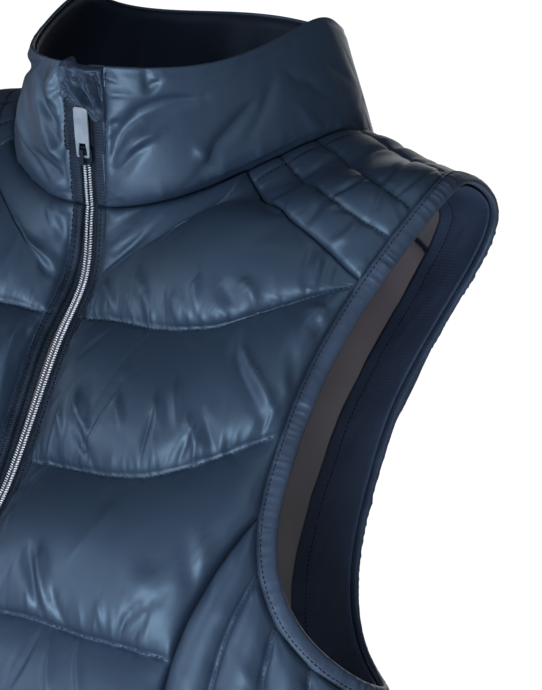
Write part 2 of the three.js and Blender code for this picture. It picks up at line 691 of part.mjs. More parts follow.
// The lining keeps all columns near the armholes and every other one between them
const NEAR_ARMHOLE = 4;
const liningColumns = [...back[0].keys()].filter((c) => {
  const fromEdge = Math.min(c, back[0].length - 1 - c);
  return fromEdge < NEAR_ARMHOLE || c % 2 === 1;
});
const lining = thinned(back, [...back.keys()], liningColumns);
add('back_lining', panelGeometry(lining, SEAMS, -LAYER_GAP * 2 - LINING, LINING), 'lining');

const collar = collarGrid();
add('collar', panelGeometry(collar, { ...SEAMS, first: 0, last: 0, bottom: 0 }), 'shell');
const innerCollar = thinned(collar, [0, 2, 3, 5], everyOther(collar[0].length));
add('collar_facing', panelGeometry(innerCollar, SEAMS, -LAYER_GAP * 2 - TAPE - FACING, FACING), 'facing');

addPair('armhole_binding', bindingGeometry(), 'binding');
addPair('armhole_facing', facingGeometry(), 'facing');

addPair('zip_tape', panelGeometry(tapeGrid(front, collar), NO_GAPS, -LAYER_GAP - TAPE, TAPE), 'tape');
const chainTop = (SLIDER_UP - SLIDER.length / 2 - LAYER_GAP) / collarHeight;
add('zip_chain', panelGeometry(chainGrid(chainTop), NO_GAPS, 0, CHAIN_HEIGHT), 'teeth');
add('slider', await sliderGeometry(), 'slider');
add('pull_tab', pullTabGeometry(), 'metal');
add('chin_guard', guardGeometry(), 'shell');

export default group;
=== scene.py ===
"""A quilted vest with a stand collar, zipped up and filled out as if worn.

The cloth lies on the same form as the solids: rings down the body and a collar above them.
A place on either is a turn round it (deg, 0 at the front, 90 at the wearer's left) and a
level down the body or a share of the way up the collar. Lengths are in millimetres until a
mesh is made, which is in metres.
"""

import math

import bpy
import numpy as np
from mathutils import Matrix, Vector


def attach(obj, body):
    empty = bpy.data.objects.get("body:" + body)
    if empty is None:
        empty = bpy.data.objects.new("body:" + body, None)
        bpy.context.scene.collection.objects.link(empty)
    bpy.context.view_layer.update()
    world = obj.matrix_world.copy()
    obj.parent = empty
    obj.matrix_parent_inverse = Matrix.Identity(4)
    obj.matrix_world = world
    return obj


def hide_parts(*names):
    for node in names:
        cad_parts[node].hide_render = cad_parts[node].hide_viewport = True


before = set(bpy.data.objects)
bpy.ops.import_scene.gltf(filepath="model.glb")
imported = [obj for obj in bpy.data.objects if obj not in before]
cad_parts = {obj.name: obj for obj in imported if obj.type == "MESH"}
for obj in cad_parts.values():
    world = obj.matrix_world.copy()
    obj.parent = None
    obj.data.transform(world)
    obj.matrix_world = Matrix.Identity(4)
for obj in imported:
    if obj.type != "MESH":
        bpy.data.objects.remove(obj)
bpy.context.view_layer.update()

MM = 0.001
BODY = "garment"

# The form's rings: middle, side, front, back, front bend, back bend, z front, z side, z back
RINGS = np.array([
    [13.6, 90.0, 100.2, 63.9, 2.05, 2.0, -74.1, 0.0, 8.0],
    [5.8, 127.9, 83.4, 84.5, 2.3, 2.05, -107.8, -14.5, -30.0],
    [-14.2, 176.5, 77.7, 104.0, 2.5, 2.0, -148.4, -35.0, -90.6],
    [-41.3, 168.7, 64.0, 118.0, 2.6, 1.7, -217.1, -137.7, -168.0],
    [-64.1, 185.5, 62.1, 120.0, 2.6, 1.7, -267.1, -251.6, -262.0],
    [-52.0, 207.0, 70.0, 116.0, 2.6, 2.1, -347.0, -345.0, -345.0],
    [-46.0, 202.0, 68.0, 108.0, 2.5, 2.3, -440.0, -440.0, -440.0],
    [-42.0, 209.0, 74.0, 116.0, 2.4, 2.3, -540.0, -540.0, -540.0],
    [-40.0, 220.0, 82.0, 126.0, 2.4, 2.3, -640.0, -640.0, -640.0],
])
COLLAR_TOP = np.array([-7.4, 67.9, 120.3, 62.6, 2.1, 2.0, -15.7, 51.5, 66.9])
HEM = len(RINGS) - 1.0
COLLAR_HEIGHT = 71.41  # at the zip

# The armhole's outline: its middle, its reach to the front and back in turn and up and down in
# levels, and the bend of its curve
ARMHOLE_MIDDLE = 88.1
ARMHOLE_LEVEL = 3.4
ARMHOLE_FRONT = 16.1
ARMHOLE_BACK = 26.5
ARMHOLE_UP = 1.7
ARMHOLE_DOWN = 0.8
ARMHOLE_BEND = 2.3

# Trims round the armhole, in mm
BINDING_WIDTH = 9.3
FACING_WIDTH = 28.0
FACING_EXTRA = 15.0  # behind the hole

# The zip, in mm: each front's first edge, the stitch line beside it at the bottom and the top of
# the collar, and the slider's height on the collar
ZIP_EDGE = 3.4
ZIP_STITCH = 8.5
COLLAR_STITCH = 12.0
SLIDER_UP = 27.0

# The zip's soft sideways bend: millimetres, middle level, reach in levels and in turn
SWAY = 2.2
SWAY_LEVEL = 2.0
SWAY_REACH = 1.3
SWAY_TURN = 26.0

# The front's stitch lines as levels at nine even places from the zip to the outer edge
FRONT_LINES = np.array([
    [1.58, 1.65, 1.81, 2.05, 2.29, 2.46, 2.58, 2.57, 2.50],
    [2.77, 2.82, 2.90, 3.04, 3.19, 3.32, 3.39, 3.345, 3.21],
    [4.11, 4.13, 4.15, 4.16, 4.17, 4.20, 4.24, 4.26, 4.29],
    [5.05] * 9,
    [5.85] * 9,
    [6.60] * 9,
    [7.33] * 9,
    [8.00] * 9,
])
# The back's stitch lines: level at the middle and at the outer edges
BACK_LINES = np.array([
    [1.55, 2.40], [2.60, 3.05], [3.47, 3.75], [4.30, 4.38], [5.17, 5.17],
    [5.95, 5.95], [6.65, 6.65], [7.35, 7.35], [8.00, 8.00],
])
# The yoke's stitch lines from front to back: turns and levels at nine even shares of the way
# from the neck seam to the armhole, and where they end round the armhole's outline
YOKE_TURNS = np.array([
    [41.2, 46.8, 51.9, 55.9, 59.4, 62.5, 65.5, 68.2, 70.9],
    [50.5, 53.5, 56.4, 58.9, 61.5, 63.9, 66.4, 68.6, 71.0],
    [62.0, 63.9, 65.2, 66.0, 66.2, 68.0, 69.9, 71.9, 73.9],
    [80.0, 79.9, 79.8, 79.7, 79.5, 79.4, 79.3, 79.1, 78.9],
    [97.0, 96.6, 96.2, 95.7, 95.2, 94.8, 94.2, 93.7, 92.9],
    [112.0, 111.2, 110.4, 109.6, 108.8, 107.9, 106.9, 105.9, 104.4],
    [125.0, 123.0, 121.1, 119.2, 117.3, 115.4, 113.5, 111.7, 110.0],
    [138.0, 133.8, 129.9, 126.2, 122.8, 119.6, 116.9, 114.6, 113.1],
])
YOKE_LEVELS = np.array([
    [0.00, 0.80, 1.54, 1.93, 2.10, 2.22, 2.32, 2.41, 2.48],
    [0.00, 0.54, 1.01, 1.60, 1.87, 2.01, 2.12, 2.19, 2.26],
    [0.00, 0.44, 0.78, 1.18, 1.63, 1.82, 1.93, 2.02, 2.09],
    [0.00, 0.36, 0.69, 0.97, 1.20, 1.39, 1.54, 1.63, 1.67],
    [0.00, 0.34, 0.64, 0.90, 1.12, 1.29, 1.42, 1.51, 1.54],
    [0.00, 0.40, 0.74, 1.05, 1.30, 1.51, 1.67, 1.77, 1.80],
    [0.00, 0.54, 0.99, 1.36, 1.65, 1.85, 1.99, 2.06, 2.08],
    [0.00, 0.72, 1.28, 1.69, 1.98, 2.17, 2.27, 2.31, 2.31],
])
YOKE_ARM = np.array([152.7, 144.0, 136.7, 112.0, 80.0, 58.0, 45.0, 35.2])
# Shares of the way down the yoke's seams where the panels' columns meet them
YOKE_STEPS = np.array([0, 0.07, 0.26, 0.45, 0.64, 0.83, 1.0])
# Turns where columns meet the neck seam: the front's 2 to 4, the back's 6 to 9
FRONT_NECK = [19, 30, 41.2]
BACK_NECK = [138, 152, 166, 180]

# Side panels: turns of their seams at the hem, channels, and levels over which the seams turn
SIDE_FRONT_HEM = 56.5
SIDE_BACK_HEM = 107.0
SIDE_CHANNELS = 8
SIDE_SETTLE = 1.0
FRONT_SEAM_STEP = 7 / 3  # in baffles, where the side seams leave the armhole
BACK_SEAM_STEP = 10 / 3

# Heights of the cloth over the form
WALL = 2.0
SEAM_WALL = 0.4
THINNEST = 0.35
BAFFLE_PUFF = 12.0
CHANNEL_PUFF = 6.0
YOKE_PUFF = 3.0
COLLAR_PUFF = 6.0


def unit(vectors):
    return vectors / np.maximum(np.linalg.norm(vectors, axis=-1, keepdims=True), 1e-9)


def mix(a, b, t):
    return a + (b - a) * t


def smooth(t):
    t = np.clip(t, 0, 1)
    return t * t * (3 - 2 * t)


def dome(distance, reach):
    """Rises from 0 at an edge to 1 at reach, as a quarter of a circle does."""
    t = 1 - np.clip(distance / reach, 0, 1)
    return np.sqrt(1 - t * t)


def ring_at(level):
    """The body's ring at a level, on one smooth curve down the table."""
    level = np.asarray(level, float)
    last = len(RINGS) - 1
    index = np.clip(np.floor(level).astype(int), 0, last - 1)
    t = (level - index)[..., None]
    before = RINGS[np.maximum(index - 1, 0)]
    after = RINGS[np.minimum(index + 2, last)]
    start = RINGS[index]
    end = RINGS[index + 1]
    first = np.where((index > 0)[..., None], (end - before) / 2, end - start)
    final = np.where((index < last - 1)[..., None], (after - start) / 2, end - start)
    rise = 3 * t**2 - 2 * t**3
    bends = (t**3 - 2 * t**2 + t) * first + (t**3 - t**2) * final
    return mix(start, end, rise) + bends


def ring_point(ring, turn):
    angle = np.radians(turn)
    c = np.cos(angle)
    s = np.sin(angle)
    ahead = c >= 0
    depth = np.where(ahead, ring[..., 2], ring[..., 3])
    bend = np.where(ahead, ring[..., 4], ring[..., 5])
    reach = (np.abs(c / depth) ** bend + np.abs(s / ring[..., 1]) ** bend) ** (-1 / bend)
    end = np.where(ahead, ring[..., 6], ring[..., 8])
    z = mix(ring[..., 7], end, c * c)
    return np.stack([reach * s, ring[..., 0] - reach * c, z], -1)


def body_point(turn, level):
    turn = np.asarray(turn, float)
    point = ring_point(ring_at(level), turn)
    near = np.abs((turn + 180) % 360 - 180) / SWAY_TURN
    point[..., 0] += SWAY * np.exp(-near**2 - ((np.asarray(level) - SWAY_LEVEL) / SWAY_REACH) ** 2)
    return point


def collar_point(turn, up):
    turn = np.asarray(turn, float)
    up = np.asarray(up, float)[..., None]
    return mix(ring_point(RINGS[0], turn), ring_point(COLLAR_TOP, turn), up)


def normal_of(point, turn, level, downward):
    across = point(turn + 1, level) - point(turn - 1, level)
    down = point(turn, level + 0.04) - point(turn, np.maximum(level - 0.04, 0))
    return unit(np.cross(down, across) * downward)


def neck_normal(turn):
    flat = np.zeros_like(np.asarray(turn, float))
    body = normal_of(body_point, turn, flat, 1)
    return unit(body + normal_of(collar_point, turn, flat, -1))


def body_normal(turn, level):
    """Out of the body. It turns into the neck seam's direction over the last of the way up."""
    share = smooth(level / 0.2)[..., None]
    return unit(mix(neck_normal(turn), normal_of(body_point, turn, level, 1), share))


def collar_normal(turn, up):
    share = smooth(up / 0.12)[..., None]
    return unit(mix(neck_normal(turn), normal_of(collar_point, turn, up, -1), share))


def turn_at(x, level):
    return np.degrees(np.arctan2(x, ring_at(level)[..., 2]))


def collar_turn_at(x, up):
    return np.degrees(np.arctan2(x, mix(RINGS[0][2], COLLAR_TOP[2], up)))


def signed_power(value, power):
    return np.sign(value) * np.abs(value) ** power


def armhole_edge(angle):
    """A place on the armhole's own outline: angle 0 behind, 90 on top, 180 in front."""
    c = signed_power(np.cos(np.radians(angle)), 2 / ARMHOLE_BEND)
    s = signed_power(np.sin(np.radians(angle)), 2 / ARMHOLE_BEND)
    across = np.where(c > 0, ARMHOLE_BACK, ARMHOLE_FRONT)
    return ARMHOLE_MIDDLE + across * c, ARMHOLE_LEVEL - np.where(s > 0, ARMHOLE_UP, ARMHOLE_DOWN) * s


LEVEL_AS_TURN = 25  # a level is about as long as this many degrees of turn


def armhole_growth():
    """Change of turn and level for a millimetre outwards, at each degree of the outline."""
    turn, level = armhole_edge(np.arange(360.0))
    point = body_point(turn, level)
    normal = normal_of(body_point, turn, level, 1)
    way = unit(np.roll(point, -3, axis=0) - np.roll(point, 3, axis=0))
    outward = unit(np.cross(way, normal))
    by_turn = body_point(turn + 0.5, level) - body_point(turn - 0.5, level)
    by_level = (body_point(turn, level + 0.02) - body_point(turn, level - 0.02)) / 0.04
    scale = np.array([1, LEVEL_AS_TURN])
    away = np.stack([turn - turn.mean(), level - level.mean()], -1) * scale
    found = []
    for i in range(360):
        base = np.stack([by_turn[i], by_level[i]], -1)
        step = np.linalg.lstsq(base, outward[i], rcond=None)[0]
        found.append(step if (step * scale) @ away[i] > 0 else -step)
    found = np.array(found)
    even = np.ones(25) / 25
    return np.array([np.convolve(np.tile(found[:, k], 3), even, "same")[360:721] for k in range(2)])


GROWTH = armhole_growth()


def armhole(angle, grow):
    """A place on the armhole's outline, grown outwards by some millimetres."""
    turn, level = armhole_edge(angle)
    at = np.mod(angle, 360)
    degrees = np.arange(361)
    return turn + grow * np.interp(at, degrees, GROWTH[0]), level + grow * np.interp(at, degrees, GROWTH[1])


def facing_width(angle):
    return FACING_WIDTH + FACING_EXTRA * smooth(1.5 * np.cos(np.radians(angle)))


def armhole_half(behind):
    """Angles, turns and levels down one half of the panels' edge round the armhole."""
    angle = np.linspace(90, -90, 181) if behind else np.linspace(90, 270, 181)
    turn, level = armhole(angle, BINDING_WIDTH)
    return angle, turn, np.maximum.accumulate(level)


def armhole_angle(level, behind):
    """The armhole's own angle where its panel edge crosses a level."""
    angle, _, levels = armhole_half(behind)
    return np.interp(level, levels, angle)


def armhole_turn(level, behind):
    _, turn, levels = armhole_half(behind)
    return np.interp(level, levels, turn)


def soft_line(t, table):
    """A smooth curve through values at even places."""
    fine = np.linspace(0, 1, 401)
    line = np.interp(fine, np.linspace(0, 1, len(table)), table)
    even = np.hanning(61) / np.hanning(61).sum()
    padded = np.concatenate([2 * line[0] - line[30:0:-1], line, 2 * line[-1] - line[-2:-32:-1]])
    return np.interp(t, fine, np.convolve(padded, even, "valid"))


def yoke_place(line, share):
    """A place a share of the way from the neck seam to the armhole, on a yoke line."""
    line = np.asarray(line, float)
    turn = 0
    level = 0
    for k in range(8):
        weight = np.clip(1 - np.abs(line - k), 0, 1)
        turn = turn + weight * soft_line(share, YOKE_TURNS[k])
        level = level + weight * soft_line(share, YOKE_LEVELS[k])
    end = armhole(np.interp(line, np.arange(8), YOKE_ARM), BINDING_WIDTH)
    table = [np.interp(line, np.arange(8), rows[:, -1]) for rows in (YOKE_TURNS, YOKE_LEVELS)]
    late = np.asarray(share, float) ** 3
    return turn + (end[0] - table[0]) * late, level + (end[1] - table[1]) * late


def seam_turn(start_turn, start_level, hem, level):
    fall = np.exp(-np.maximum(level - start_level, 0) / SIDE_SETTLE)
    return hem + (start_turn - hem) * fall


def edge_place(levels, seam_step, behind):
    """Places down a panel's outer edge: round the armhole first, then down the side seam."""
    hem = SIDE_BACK_HEM if behind else SIDE_FRONT_HEM

    def place(baffle):
        level = np.interp(baffle, np.arange(len(levels)), levels)
        start_level = np.interp(seam_step, np.arange(len(levels)), levels)
        start_turn = armhole_turn(start_level, behind)
        down = seam_turn(start_turn, start_level, hem, level)
        turn = np.where(level <= start_level, armhole_turn(level, behind), down)
        return turn, level

    return place


FRONT_EDGE_LEVELS = [float(yoke_place(0.0, 1.0)[1]), *FRONT_LINES[:, -1]]
BACK_EDGE_LEVELS = [float(yoke_place(7.0, 1.0)[1]), *BACK_LINES[:, 1]]
front_edge = edge_place(FRONT_EDGE_LEVELS, FRONT_SEAM_STEP, False)
back_edge = edge_place(BACK_EDGE_LEVELS, BACK_SEAM_STEP, True)


def row_levels(baffle, lines):
    """Levels between stitch lines: lines is a list of arrays, baffle counts them."""
    stack = np.stack(np.broadcast_arrays(*lines))
    index = np.clip(np.floor(baffle).astype(int), 0, len(lines) - 2)
    t = baffle - index
    columns = np.arange(baffle.shape[1])[None, :]
    return mix(stack[index, columns], stack[index + 1, columns], t)


def settled(top_turn, even, edge_turn, baffle, edge, weight):
    """Turns from those of the top line down to even ones, true to the panel's outer edge."""
    settle = smooth(baffle)
    at_edge = mix(top_turn[:, edge], edge_turn[:, edge], settle[:, edge])
    return mix(top_turn, even, settle) + (edge_turn[:, edge] - at_edge) * weight


def front_places(column, baffle):
    """column runs 0 to 10 from the zip's edge outwards, baffle counts stitch lines down."""
    share = np.interp(column, np.arange(4, 11), YOKE_STEPS)
    zip_turns = [turn_at(ZIP_EDGE, 0), turn_at(ZIP_STITCH, 0)]
    neck = np.interp(column, np.arange(5), zip_turns + FRONT_NECK)
    yoke_turn, yoke_level = yoke_place(0.0, share)
    top_turn = np.where(column <= 4, neck, yoke_turn)
    top_level = np.where(column <= 4, 0, yoke_level)
    lines = [top_level[0]] + [soft_line(column[0] / 10, line) for line in FRONT_LINES]
    level = row_levels(baffle, lines)
    edge_turn = front_edge(baffle)[0]
    even = mix(turn_at(ZIP_STITCH, level), edge_turn, np.clip((column - 1) / 9, 0, 1))
    turn = settled(top_turn, even, edge_turn, baffle, np.s_[-1:], np.clip(column - 9, 0, 1))
    by_zip = turn_at(np.interp(column, [0, 1], [ZIP_EDGE, ZIP_STITCH]), level)
    return np.where(column <= 1, by_zip, turn), level


def back_places(column, baffle):
    """column runs 0 to 18 from the wearer's left seam round to the right one."""
    near = np.minimum(column, 18 - column)
    share = np.interp(near, np.arange(7), YOKE_STEPS[::-1])
    neck = np.interp(near, [6, 7, 8, 9], BACK_NECK)
    yoke_turn, yoke_level = yoke_place(7.0, share)
    top_turn = np.where(near >= 6, neck, yoke_turn)
    top_level = np.where(near >= 6, 0, yoke_level)
    bow = np.sin(np.radians(10 * near[0]))
    lines = [top_level[0]] + [mix(line[1], line[0], bow) for line in BACK_LINES]
    level = row_levels(baffle, lines)
    edge_turn = back_edge(baffle)[0]
    even = mix(edge_turn, 180, near / 9)
    turn = settled(top_turn, even, edge_turn, baffle, np.s_[:1], np.clip(1 - near, 0, 1))
    return np.where(column <= 9, turn, 360 - turn), level


def side_places(channel, share):
    """channel runs 0 to 1 from the front seam to the back one, share 0 to 1 down."""
    start = armhole_angle(front_edge(np.array(FRONT_SEAM_STEP))[1], False)
    end = armhole_angle(back_edge(np.array(BACK_SEAM_STEP))[1], True) + 360
    top_turn, top_level = armhole(mix(start, end, channel), BINDING_WIDTH)
    hem = mix(SIDE_FRONT_HEM, SIDE_BACK_HEM, channel)
    level = mix(top_level, HEM, share)
    return seam_turn(top_turn, top_level, hem, level), level


# Relief of the cloth
def wander(x, wavelength, rng):
    """A smooth random value about 0, within -1 to 1, that changes over a wavelength."""
    total = np.zeros_like(np.asarray(x, float))
    for scale in (1.0, 0.57, 0.34):
        total = total + np.sin(2 * np.pi * x / (wavelength * scale) + rng.uniform(0, 6.28)) * scale
    return total / 1.91


def pleats(rng, place, away, spacing, width, height, reach, slant=0.25):
    """Small folds that start on a stitch line: place is along it, away is from it, in mm."""
    relief = np.zeros_like(place)
    near = away < reach * 2.6
    if not near.any():
        return relief
    along = place[near]
    off = away[near]
    total = np.zeros_like(along)
    x = along.min()
    while x < along.max():
        x += spacing * rng.uniform(0.4, 1.7)
        wide = width * rng.uniform(0.6, 1.5)
        tall = height * rng.uniform(0.3, 1.0) * rng.choice([1, 1, -0.8])
        far = reach * rng.uniform(0.35, 1.5)
        tilt = rng.normal(0, slant)
        bow = rng.normal(0, slant) / (6 * reach)
        shift = (along - x - tilt * off - bow * off * off) / wide
        total += tall * np.exp(-np.abs(shift) ** 1.4 - (off / far) ** 2)
    relief[near] = total * (1 - 0.4 * np.exp(-off / 1.2))
    return relief


def fold(points, path, width, height):
    """A soft ridge or trough along a path of points. It fades out towards both ends."""
    relief = np.zeros(points.shape[:-1])
    low = path.min(0) - 3 * width
    high = path.max(0) + 3 * width
    near = ((points > low) & (points < high)).all(-1)
    if not near.any():
        return relief
    spots = points[near]
    best = np.full(len(spots), 1e9)
    share = np.zeros(len(spots))
    count = len(path) - 1
    for i in range(count):
        step = path[i + 1] - path[i]
        t = np.clip(((spots - path[i]) @ step) / max(step @ step, 1e-9), 0, 1)
        gap = np.linalg.norm(spots - path[i] - t[:, None] * step, axis=1)
        closer = gap < best
        best[closer] = gap[closer]
        share[closer] = (i + t[closer]) / count
    taper = np.sin(np.pi * np.clip(share, 0.03, 0.97)) ** 0.6
    relief[near] = height * taper * np.exp(-(best / (width * (0.5 + 0.5 * taper))) ** 1.6)
    return relief


def folds(points, point_of, table):
    """table rows: places as (turn, level) pairs, width and height."""
    total = np.zeros(points.shape[:-1])
    s = np.linspace(0, 1, 13)
    for places, width, height in table:
        places = np.array(places)
        even = np.linspace(0, 1, len(places))
        path = point_of(np.interp(s, even, places[:, 0]), np.interp(s, even, places[:, 1]))
        total += fold(points, path, width, height)
    return total


def random_folds(rng, count, turns, levels, reach, width, height):
    """Slanting folds spread over a panel, as a table for folds()."""
    table = []
    for _ in range(count):
        turn = rng.uniform(*turns)
        level = rng.uniform(*levels)
        lean = rng.choice([-1, 1]) * rng.uniform(0.3, 1.0) * reach
        drop = rng.uniform(0.25, 0.9) * reach / 22
        middle = (turn + lean * rng.uniform(0.3, 0.7), level + drop * rng.uniform(0.3, 0.7))
        last = (turn + lean, level + drop)
        places = [(a, min(max(b, levels[0]), levels[1])) for a, b in ((turn, level), middle, last)]
        wide = width * rng.uniform(0.6, 1.6)
        tall = height * rng.uniform(0.4, 1) * rng.choice([1, -0.8])
        table.append((places, wide, tall))
    return table


def scatter(rng, points, rows):
    """Slanting folds over a panel of the body: each row has the settings of random_folds."""
    table = []
    for row in rows:
        table += random_folds(rng, *row)
    return folds(points, body_point, table)


def puckers(rng, place, away, rows):
    """Several sizes of pleats on one line: each row has the settings of pleats."""
    total = np.zeros_like(place)
    for row in rows:
        total += pleats(rng, place, away, *row)
    return total


def lengths(points):
    """Arc lengths along the rows and down the columns of a grid of points."""
    across = np.zeros(points.shape[:2])
    down = np.zeros(points.shape[:2])
    across[:, 1:] = np.cumsum(np.linalg.norm(np.diff(points, axis=1), axis=-1), axis=1)
    down[1:] = np.cumsum(np.linalg.norm(np.diff(points, axis=0), axis=-1), axis=0)
    return across, down


def border_height(distance):
    """The wall's edge turns in to the seam."""
    return SEAM_WALL + (WALL - SEAM_WALL) * dome(distance, 2.2)


# Meshes
def new_object(name, points, faces, materials, face_materials=None, mirror=False):
    points = np.array(points, float).reshape(-1, 3) * MM
    if mirror:
        points[:, 0] *= -1
        faces = [face[::-1] for face in faces]
    mesh = bpy.data.meshes.new(name)
    mesh.from_pydata(points.tolist(), [], faces)
    for material in materials:
        mesh.materials.append(material)
    if face_materials is not None:
        mesh.polygons.foreach_set("material_index", np.asarray(face_materials, np.int32))
    mesh.polygons.foreach_set("use_smooth", np.ones(len(mesh.polygons), bool))
    mesh.update()
    obj = bpy.data.objects.new(name, mesh)
    bpy.context.scene.collection.objects.link(obj)
    return obj


def quads(index):
    """Faces of a grid of vertex numbers, facing down x across."""
    a = index[:-1, :-1]
    b = index[1:, :-1]
    c = index[1:, 1:]
    d = index[:-1, 1:]
    return np.stack([a, b, c, d], -1).reshape(-1, 4).tolist()


def bridge(fine, coarse, step):
    """Faces between a fine border and a coarse one that has every step-th of its points."""
    faces = []
    for i in range(len(coarse) - 1):
        part = fine[i * step:(i + 1) * step + 1]
        faces.append([*part, coarse[i + 1], coarse[i]])
    return faces


def closed_wall(name, outer, inner, step, materials, mirror=False, strip=0):
    """A closed wall: a fine outer grid and an inner one with every step-th row and column."""
    rows, columns = outer.shape[:2]
    fine = np.arange(rows * columns).reshape(rows, columns)
    coarse = rows * columns + np.arange(inner.shape[0] * inner.shape[1]).reshape(inner.shape[:2])
    faces = quads(fine)
    looks = [2 if k % (columns - 1) < strip else 0 for k in range(len(faces))]
    inside = [face[::-1] for face in quads(coarse)]
    edges = []
    for border in (np.s_[0, ::-1], np.s_[-1], np.s_[:, 0], np.s_[::-1, -1]):
        found = bridge(fine[border].tolist(), coarse[border].tolist(), step)
        edges += [face[::-1] for face in found]
    faces += inside + edges
    looks += [1] * len(inside) + [0] * len(edges)
    points = np.concatenate([outer.reshape(-1, 3), inner.reshape(-1, 3)])
    return new_object(name, points, faces, materials, looks, mirror)


def loop_grid(name, sections, materials, mirror=False, closed_path=True, closed_section=True, looks=None):
    """A mesh swept through equal sections, each a list of points."""
    count, corners = sections.shape[:2]
    index = np.arange(count * corners).reshape(count, corners)
    if closed_path:
        index = np.concatenate([index, index[:1]])
    if closed_section:
        index = np.concatenate([index, index[:, :1]], axis=1)
    faces = quads(index)
    if not closed_path and closed_section:
        faces.append(index[0, :-1].tolist())
        faces.append(index[-1, :-1][::-1].tolist())
    return new_object(name, sections, faces, materials, looks, mirror)


# Rounded bars: rings along the bar as (place, radius) and the number of sides
THREAD_FORM = ([-1, -0.75, 0.75, 1], [0, 1, 1, 0], 4)
TOOTH_FORM = ([-1, -0.8, 0, 0.75, 1], [0, 0.85, 1, 0.8, 0], 6)


def bars(centres, lengthwise, sideways, upwards, form):
    """Many rounded bars at once: half axes as vectors. Returns points and faces."""
    places, radii, sides = form
    template = []
    for place, radius in zip(places[1:-1], radii[1:-1]):
        for k in range(sides):
            angle = 2 * math.pi * (k + 0.5) / sides
            template.append((place, radius * math.cos(angle), radius * math.sin(angle)))
    template += [(places[0], 0, 0), (places[-1], 0, 0)]
    template = np.array(template)
    rings = len(places) - 2
    faces = []
    for ring in range(rings - 1):
        for k in range(sides):
            a = ring * sides + k
            b = ring * sides + (k + 1) % sides
            faces.append((a, b, b + sides, a + sides))
    tip = rings * sides
    for k in range(sides):
        a = k
        b = (k + 1) % sides
        faces.append((tip, b, a))
        faces.append((tip + 1, a + (rings - 1) * sides, b + (rings - 1) * sides))
    axes = np.stack([lengthwise, sideways, upwards], 1)
    points = centres[:, None, :] + np.einsum("tk,nkj->ntj", template, axes)
    size = len(template)
    every = [tuple(v + i * size for v in face) for i in range(len(centres)) for face in faces]
    return points.reshape(-1, 3), every


THREAD_LENGTH = 1.7
THREAD_PITCH = 2.5
THREAD_RADIUS = 0.27
SEAM_LIFT = 0.08
EDGE_LIFT = 0.1


class Sewing:
    """Short threads along seams, gathered into one mesh."""

    def __init__(self):
        self.points = []
        self.faces = []
        self.count = 0

    def run(self, path, normals, mirror=False, lift=SEAM_LIFT):
        if mirror:
            path = path * [-1, 1, 1]
            normals = normals * [-1, 1, 1]
        steps = np.linalg.norm(np.diff(path, axis=0), axis=1)
        walk = np.concatenate([[0], np.cumsum(steps)])
        starts = np.arange(THREAD_PITCH / 2, walk[-1] - THREAD_LENGTH, THREAD_PITCH)
        if len(starts) == 0:
            return

        def at(values, place):
            return np.stack([np.interp(place, walk, values[:, k]) for k in range(3)], -1)

        up = unit(at(normals, starts + THREAD_LENGTH / 2))
        first = at(path, starts)
        last = at(path, starts + THREAD_LENGTH)
        way = (last - first) / 2
        side = unit(np.cross(up, way)) * THREAD_RADIUS
        centres = (first + last) / 2 + up * lift
        points, faces = bars(centres, way, side, up * THREAD_RADIUS, THREAD_FORM)
        self.faces += [tuple(v + self.count for v in face) for face in faces]
        self.points.append(points)
        self.count += len(points)

    def piece(self, name, material):
        return new_object(name, np.concatenate(self.points), self.faces, [material])


# Materials
def nodes_of(material):
    tree = material.node_tree
    return tree, tree.nodes["Principled BSDF"]


def base_material(name, **settings):
    """settings are values of the shader's sockets, with _ for a space."""
    material = bpy.data.materials.new(name)
    material.use_nodes = True
    shader = nodes_of(material)[1]
    for socket, value in settings.items():
        shader.inputs[socket.replace("_", " ")].default_value = value
    return material


def texture(tree, kind, vector, **settings):
    node = tree.nodes.new(kind)
    tree.links.new(vector, node.inputs["Vector"])
    for socket, value in settings.items():
        node.inputs[socket.replace("_", " ")].default_value = value
    return node


def vary(material, scale, dark, light, detail=3.0):
    """Colour that drifts between two tones."""
    tree, shader = nodes_of(material)
    place = tree.nodes.new("ShaderNodeTexCoord")
    noise = texture(tree, "ShaderNodeTexNoise", place.outputs["Object"], Scale=scale, Detail=detail)
    ramp = tree.nodes.new("ShaderNodeValToRGB")
    ramp.color_ramp.elements[0].position = 0.35
    ramp.color_ramp.elements[0].color = (*dark, 1)
    ramp.color_ramp.elements[1].position = 0.65
    ramp.color_ramp.elements[1].color = (*light, 1)
    tree.links.new(noise.outputs["Fac"], ramp.inputs["Fac"])
    tree.links.new(ramp.outputs["Color"], shader.inputs["Base Color"])


def rough(material, scale, low, high):
    """Roughness that drifts between two values."""
    tree, shader = nodes_of(material)
    place = tree.nodes.new("ShaderNodeTexCoord")
    noise = texture(tree, "ShaderNodeTexNoise", place.outputs["Object"], Scale=scale, Detail=4.0)
    span = tree.nodes.new("ShaderNodeMapRange")
    span.inputs["From Min"].default_value = 0.3
    span.inputs["From Max"].default_value = 0.7
    span.inputs["To Min"].default_value = low
    span.inputs["To Max"].default_value = high
    tree.links.new(noise.outputs["Fac"], span.inputs["Value"])
    tree.links.new(span.outputs["Result"], shader.inputs["Roughness"])


